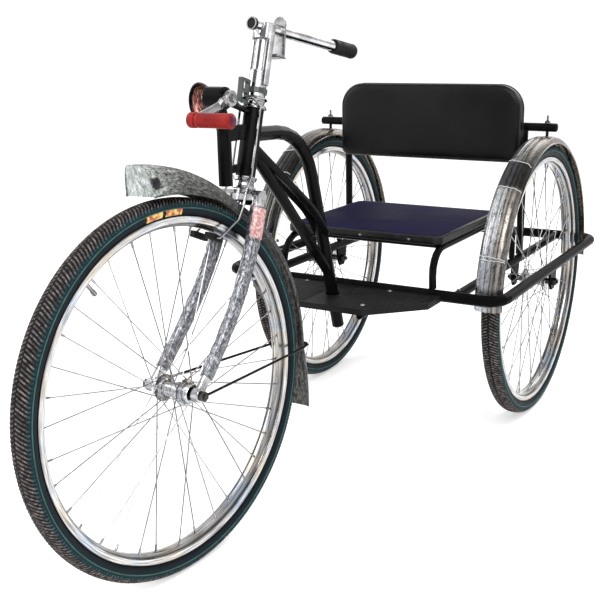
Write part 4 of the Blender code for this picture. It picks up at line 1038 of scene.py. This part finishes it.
def smooth_path(points, steps):
    """A curve through the points, with some steps from each to the next."""
    padded = [points[0]] + points + [points[-1]]
    path = []
    for p0, p1, p2, p3 in zip(padded, padded[1:], padded[2:], padded[3:]):
        for k in range(steps):
            t = k / steps
            path.append(0.5 * ((2 * p1) + (p2 - p0) * t + (2 * p0 - 5 * p1 + 4 * p2 - p3) * t * t
                               + (3 * p1 - p0 - 3 * p2 + p3) * t ** 3))
    return path + [points[-1]]


shell.tube(smooth_path(arm, 5), 0.0052, 14)
lamp = shell.piece("lamp_shell", LAMP_BLACK, None, 40.0)
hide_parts("lamp")
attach(lamp, "frame")
front = [(LAMP_R * max(0.012, r), LAMP_LONG * a) for r, a in inner]
rear = [(LAMP_R * max(0.010, r + 0.008), LAMP_LONG * (a - 0.010)) for r, a in reversed(inner)]
bowl = Shape().lathe(front + rear, lamp_at, lamp_dir, 48)
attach(bowl.piece("lamp_bowl", COPPER, None, 40.0), "frame")
glass = [(0.0050, 0.0), (0.0050, 0.006), (0.0075, 0.011), (0.0080, 0.015), (0.0060, 0.019), (0.0, 0.021)]
bulb = Shape().lathe(glass, lamp_at + lamp_dir * LAMP_LONG * BULB_AT, lamp_dir, 24, False)
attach(bulb.piece("lamp_bulb", DARK_NUT, None, 50.0), "frame")
lamp_side = UP.cross(lamp_dir).normalized()
mouth = [lamp_at + lamp_dir * LAMP_LONG + (lamp_side * math.cos(a) + UP * math.sin(a)) * LAMP_R * MOUTH
         for a in circle(48)]
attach(Shape().tube(mouth, 0.0016, 8, True).piece("lamp_rim_line", LAMP_BLACK), "frame")


# Seat and backrest.
def rounded_outline(half_x, low, high, low_round, high_round, steps=10):
    """A closed outline with rounded corners, from the +x high corner round to the high side again."""
    points = []
    for cx, cy, radius, start in ((half_x, high, high_round, 0), (-half_x, high, high_round, 90),
                                  (-half_x, low, low_round, 180), (half_x, low, low_round, 270)):
        x = cx - math.copysign(radius, cx)
        y = cy - radius if cy == high else cy + radius
        for k in range(steps + 1):
            a = math.radians(start + 90.0 * k / steps)
            points.append((x + radius * math.cos(a), y + radius * math.sin(a)))
    return points


def inset(points, by, centre):
    """The outline drawn in by a distance, measured along its own normals."""
    made = []
    for i, (x, y) in enumerate(points):
        ahead = points[(i + 1) % len(points)]
        dx = ahead[0] - points[i - 1][0]
        dy = ahead[1] - points[i - 1][1]
        size = math.hypot(dx, dy) or 1.0
        inward = 1.0 if dx * (centre[1] - y) >= dy * (centre[0] - x) else -1.0
        made.append((x - inward * dy / size * by, y + inward * dx / size * by))
    return made


def shrink(points, share, centre):
    return [(centre[0] + (x - centre[0]) * share, centre[1] + (y - centre[1]) * share) for x, y in points]


# The seat: a black edge all round, and a covered top, crowned by rings that shrink to the middle.
SEAT_ROUND = 0.022
SEAT_RINGS = ((1.0, -0.0050), (1.0, 0.0002), (0.992, 0.0014), (0.975, 0.0022), (0.94, 0.0028), (0.86, 0.0034),
              (0.70, 0.0038), (0.50, 0.0040), (0.28, 0.0041), (0.10, 0.0041))
seat_low, seat_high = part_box("seat")
mid = ((seat_low.x + seat_high.x) / 2, (seat_low.y + seat_high.y) / 2)
outline = rounded_outline(seat_high.x, seat_low.y, seat_high.y, SEAT_ROUND, SEAT_ROUND)
thick = seat_high.z - seat_low.z
rings = []
for by, z in ((0.0060, 0.0), (0.0016, 0.0004), (0.0, 0.0022), (0.0, thick - 0.0045), (0.0010, thick - 0.0018),
              (0.0034, thick - 0.0004)):
    rings.append([(x, y, seat_low.z + z) for x, y in inset(outline, by, mid)])
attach(Shape().grid(rings).piece("seat_edge", EDGE_BLACK, None, 60.0), "frame")
rings = []
base = inset(outline, 0.0040, mid)
for share, z in SEAT_RINGS:
    ring = []
    for x, y in shrink(base, share, mid):
        sag = 0.0006 * noise.noise(Vector((x * 14.0, y * 14.0, 1.7))) if share < 0.97 else 0.0
        ring.append((x, y, seat_high.z - 0.0022 + z + sag))
    rings.append(ring)
seat = Shape().grid(rings).piece("seat_top", NAVY_VINYL, None, 60.0)
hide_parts("seat")
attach(seat, "frame")
studs = Shape()
for x in (-0.13, 0.0, 0.13):
    for y, way in ((seat_low.y + FIT, -1), (seat_high.y - FIT, 1)):
        studs.dome((x, y, seat_low.z + thick * 0.45), (0, way, 0), 0.0032, 0.0016)
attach(studs.piece("seat_studs", NUT_STEEL), "frame")

# The backrest: a board with a crowned pad, piped along both edges, and the fittings of its bar.
REST_ROUND = 0.062
REST_FOOT_ROUND = 0.020
REST_BACK = ((0.0080, 0.0), (0.0020, -0.0003), (0.0004, -0.0016), (0.0, -0.006))
REST_FRONT = ((0.0, 0.0085), (0.0006, 0.0060), (0.0030, 0.0040))
REST_RINGS = ((0.995, 0.0022), (0.985, 0.0006), (0.965, -0.0008), (0.93, -0.0021), (0.87, -0.0034),
              (0.78, -0.0045), (0.66, -0.0053), (0.50, -0.0058), (0.32, -0.0061), (0.14, -0.0062))
rest_low, rest_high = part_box("backrest")
mid = (0.0, (rest_low.z + rest_high.z) / 2)
outline = rounded_outline(rest_high.x, rest_low.z, rest_high.z, REST_FOOT_ROUND, REST_ROUND, 14)
rings = []
for by, y in [(by, rest_high.y + y) for by, y in REST_BACK] + [(by, rest_low.y + y) for by, y in REST_FRONT]:
    rings.append([(x, y, z) for x, z in inset(outline, by, mid)])
base = inset(outline, 0.0044, mid)
for share, y in REST_RINGS:
    ring = []
    for x, z in shrink(base, share, mid):
        wave = 0.0012 * noise.noise(Vector((x * 9.0, z * 9.0, 4.2))) if share < 0.96 else 0.0
        ring.append((x, rest_low.y + y + wave, z))
    rings.append(ring)
rest = Shape().grid(rings).piece("backrest_pad", BLACK_VINYL, None, 60.0)
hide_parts("backrest")
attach(rest, "frame")
piping = Shape()
for y, by in ((rest_low.y + 0.0062, 0.0012), (rest_high.y - 0.0040, 0.0006)):
    piping.tube([(x, y, z) for x, z in inset(outline, by, mid)], 0.0026, 8, True)
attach(piping.piece("backrest_piping", PIPING), "frame")
bar_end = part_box("back_frame")[1].x
bar_at = Vector((0.0, rest_high.y + FIT + BACK_BAR_R, rest_low.z + BACK_BAR_OVER_REST))
bolts = Shape()
studs = Shape()
for way in (-1, 1):
    for z in (0.052, 0.150):
        bolts.dome((way * 0.205, rest_high.y - 0.0002, rest_low.z + z), (0, 1, 0), 0.0055, 0.0036)
    bolts.dome(bar_at + X_AXIS * way * bar_end, (way, 0, 0), 0.0095, 0.0030, 20)
    top = bar_at + X_AXIS * way * LEFT_HUB.x + UP * (BACK_BAR_R - 0.0005)
    studs.nut(top, UP, 0.0072, 0.0060)
    studs.rod(top, top + UP * 0.0200, 0.0028, 10)
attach(bolts.piece("back_bolts", ENAMEL_PLAIN), "frame")
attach(studs.piece("bar_studs", NUT_STEEL), "frame")

# Footboard ribs, each in two halves beside the mast, and the bolts of the footboard and the chassis.
RIBS = 13
RIB_PITCH = 0.0125
RIB_SECTION = ((-0.0030, -0.0001), (-0.0022, 0.0011), (0.0022, 0.0011), (0.0030, -0.0001))
CHASSIS_BOLTS_Y = (0.1340, 0.9000)
foot_low, foot_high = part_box("footboard")
ribs = Shape()
for y in spaced(0.016, 0.016 + RIB_PITCH * (RIBS - 1), RIBS - 1):
    half = min(0.222, 0.113 + 0.110 * y / FOOT_NOSE_LONG)
    for ends in ((-half, -0.030), (0.030, half)):
        ribs.grid([[(x, foot_low.y + y + dy, foot_high.z + dz) for dy, dz in RIB_SECTION] for x in ends])
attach(ribs.piece("footboard_ribs", BOARD_BLACK), "frame")
bolts = Shape()
for way in (-1, 1):
    for y in (foot_low.y + 0.030, foot_high.y - 0.014):
        bolts.dome((way * 0.1125, y, foot_high.z), (0, 0, 1), 0.0060, 0.0040)
for way in (-1, 1):
    for y in CHASSIS_BOLTS_Y:
        bolts.dome((way * RAIL_IN_X, y, LEFT_HUB.z + RAIL_RISE + 0.0112), (0, 0, 1), 0.0050, 0.0034)
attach(bolts.piece("chassis_bolts", NUT_STEEL), "frame")

# Materials of the CAD nodes that stay in view.
NODE_PAINTS = (
    (ENAMEL, ("main_frame", "crank_post")),
    (ENAMEL_RAIL, ("chassis",)),
    (ENAMEL_THIN, ("seat_frame", "back_frame", "front_mudguard_stay")),
    (LEVER_GREY, ("brake_bracket",)),
    (CHROME, ("steering_column", "fork")),
    (CHROME_SMALL, ("headset_low", "headset_high", "tiller_plate", "brake_stirrup", "hand_crank")),
    (DARK_NUT, ("front_axle", "rear_axle_left", "rear_axle_right")),
    (PAD_RUBBER, ("brake_pad_left", "brake_pad_right")),
    (BOARD_BLACK, ("footboard",)),
)
for material, nodes in NODE_PAINTS:
    for node in nodes:
        paint_node(node, material)


# Stage, light and camera.
WORLD_LIGHT = 0.62
FLOOR_SEEN = 0.42
FLOOR_Z = -0.0012
FLOOR_HALF = 30.0
LIGHTS_AIM = Vector((0.0, 0.0, 0.5))


def light_path_mix(tree, seen, lit):
    """One strength for what the camera, mirrors and glass see, another for what lights the object."""
    path = tree.nodes.new("ShaderNodeLightPath")
    seen_by = path.outputs["Is Camera Ray"]
    for ray in ("Is Glossy Ray", "Is Transmission Ray"):
        either = tree.nodes.new("ShaderNodeMath")
        either.operation = "MAXIMUM"
        tree.links.new(seen_by, either.inputs[0])
        tree.links.new(path.outputs[ray], either.inputs[1])
        seen_by = either.outputs[0]
    mixed = tree.nodes.new("ShaderNodeMix")
    mixed.inputs["A"].default_value = lit
    mixed.inputs["B"].default_value = seen
    tree.links.new(seen_by, mixed.inputs["Factor"])
    return mixed.outputs["Result"]


def add_light(kind, name, aim, place=(0, 0, 0)):
    """A light that faces along aim."""
    data = bpy.data.lights.new(name, kind)
    made = bpy.data.objects.new(name, data)
    scene.collection.objects.link(made)
    made.location = place
    made.rotation_euler = Vector(aim).to_track_quat("-Z", "Y").to_euler()
    return data


def area_light(name, place, size, power):
    light = add_light("AREA", name, LIGHTS_AIM - Vector(place), place)
    light.shape = "SQUARE"
    light.size = size
    light.energy = power


scene = bpy.context.scene
world = bpy.data.worlds.new("studio")
scene.world = world
world.use_nodes = True
background = world.node_tree.nodes["Background"]
background.inputs["Color"].default_value = (1.0, 1.0, 1.0, 1.0)
world.node_tree.links.new(light_path_mix(world.node_tree, 1.0, WORLD_LIGHT), background.inputs["Strength"])

floor = Shape()
corners = ((-1, -1), (1, -1), (1, 1), (-1, 1))
floor.verts = [Vector((x * FLOOR_HALF, y * FLOOR_HALF, FLOOR_Z)) for x, y in corners]
floor.faces = [(0, 1, 2, 3)]
floor_paint = Paint("floor_white", 0.93, 0.9, spec=0.0)
floor_paint.colour_by(floor_paint.noise(0.6, 2.0), [(0.3, 0.925), (0.7, 0.94)])
floor_paint.shader.inputs["Emission Color"].default_value = (1.0, 1.0, 1.0, 1.0)
glow = light_path_mix(floor_paint.tree, FLOOR_SEEN, 0.0)
floor_paint.link(glow, floor_paint.shader.inputs["Emission Strength"])
floor.piece("floor", floor_paint.material)

area_light("key", (2.2, -2.6, 3.2), 2.2, 70.0)
sun = add_light("SUN", "sun", (-0.30, 0.62, -0.95))
sun.energy = 0.5
sun.angle = math.radians(6.0)
area_light("fill", (-3.0, -1.2, 2.2), 2.6, 45.0)
area_light("rim", (0.6, 3.2, 2.8), 2.4, 50.0)

# The camera, fitted to the wheels, the backrest and the seat. IMAGE, FOCAL and CENTRE are in pixels.
IMAGE = 600.0
FOCAL = 949.712
CENTRE = (313.310, 305.376)
CAMERA_AT = Vector((1.04672, -1.87800, 0.97650))
YAW, PITCH, ROLL = -0.530032, 0.272801, -0.0154828
SENSOR = 36.0
forward = Vector((math.sin(YAW) * math.cos(PITCH), math.cos(YAW) * math.cos(PITCH), -math.sin(PITCH)))
right = Vector((math.cos(YAW), -math.sin(YAW), 0.0))
above = right.cross(forward)
rolled = Matrix.Rotation(-ROLL, 3, forward)
right = rolled @ right
above = rolled @ above
camera_data = bpy.data.cameras.new("camera")
camera_data.sensor_width = SENSOR
camera_data.lens = FOCAL / IMAGE * SENSOR
camera_data.shift_x = (IMAGE / 2 - CENTRE[0]) / IMAGE
camera_data.shift_y = (CENTRE[1] - IMAGE / 2) / IMAGE
camera_data.clip_start = 0.05
camera = bpy.data.objects.new("camera", camera_data)
scene.collection.objects.link(camera)
camera.matrix_world = Matrix((
    (right.x, above.x, -forward.x, CAMERA_AT.x), (right.y, above.y, -forward.y, CAMERA_AT.y),
    (right.z, above.z, -forward.z, CAMERA_AT.z), (0.0, 0.0, 0.0, 1.0)))
scene.camera = camera
scene.view_settings.view_transform = "Standard"
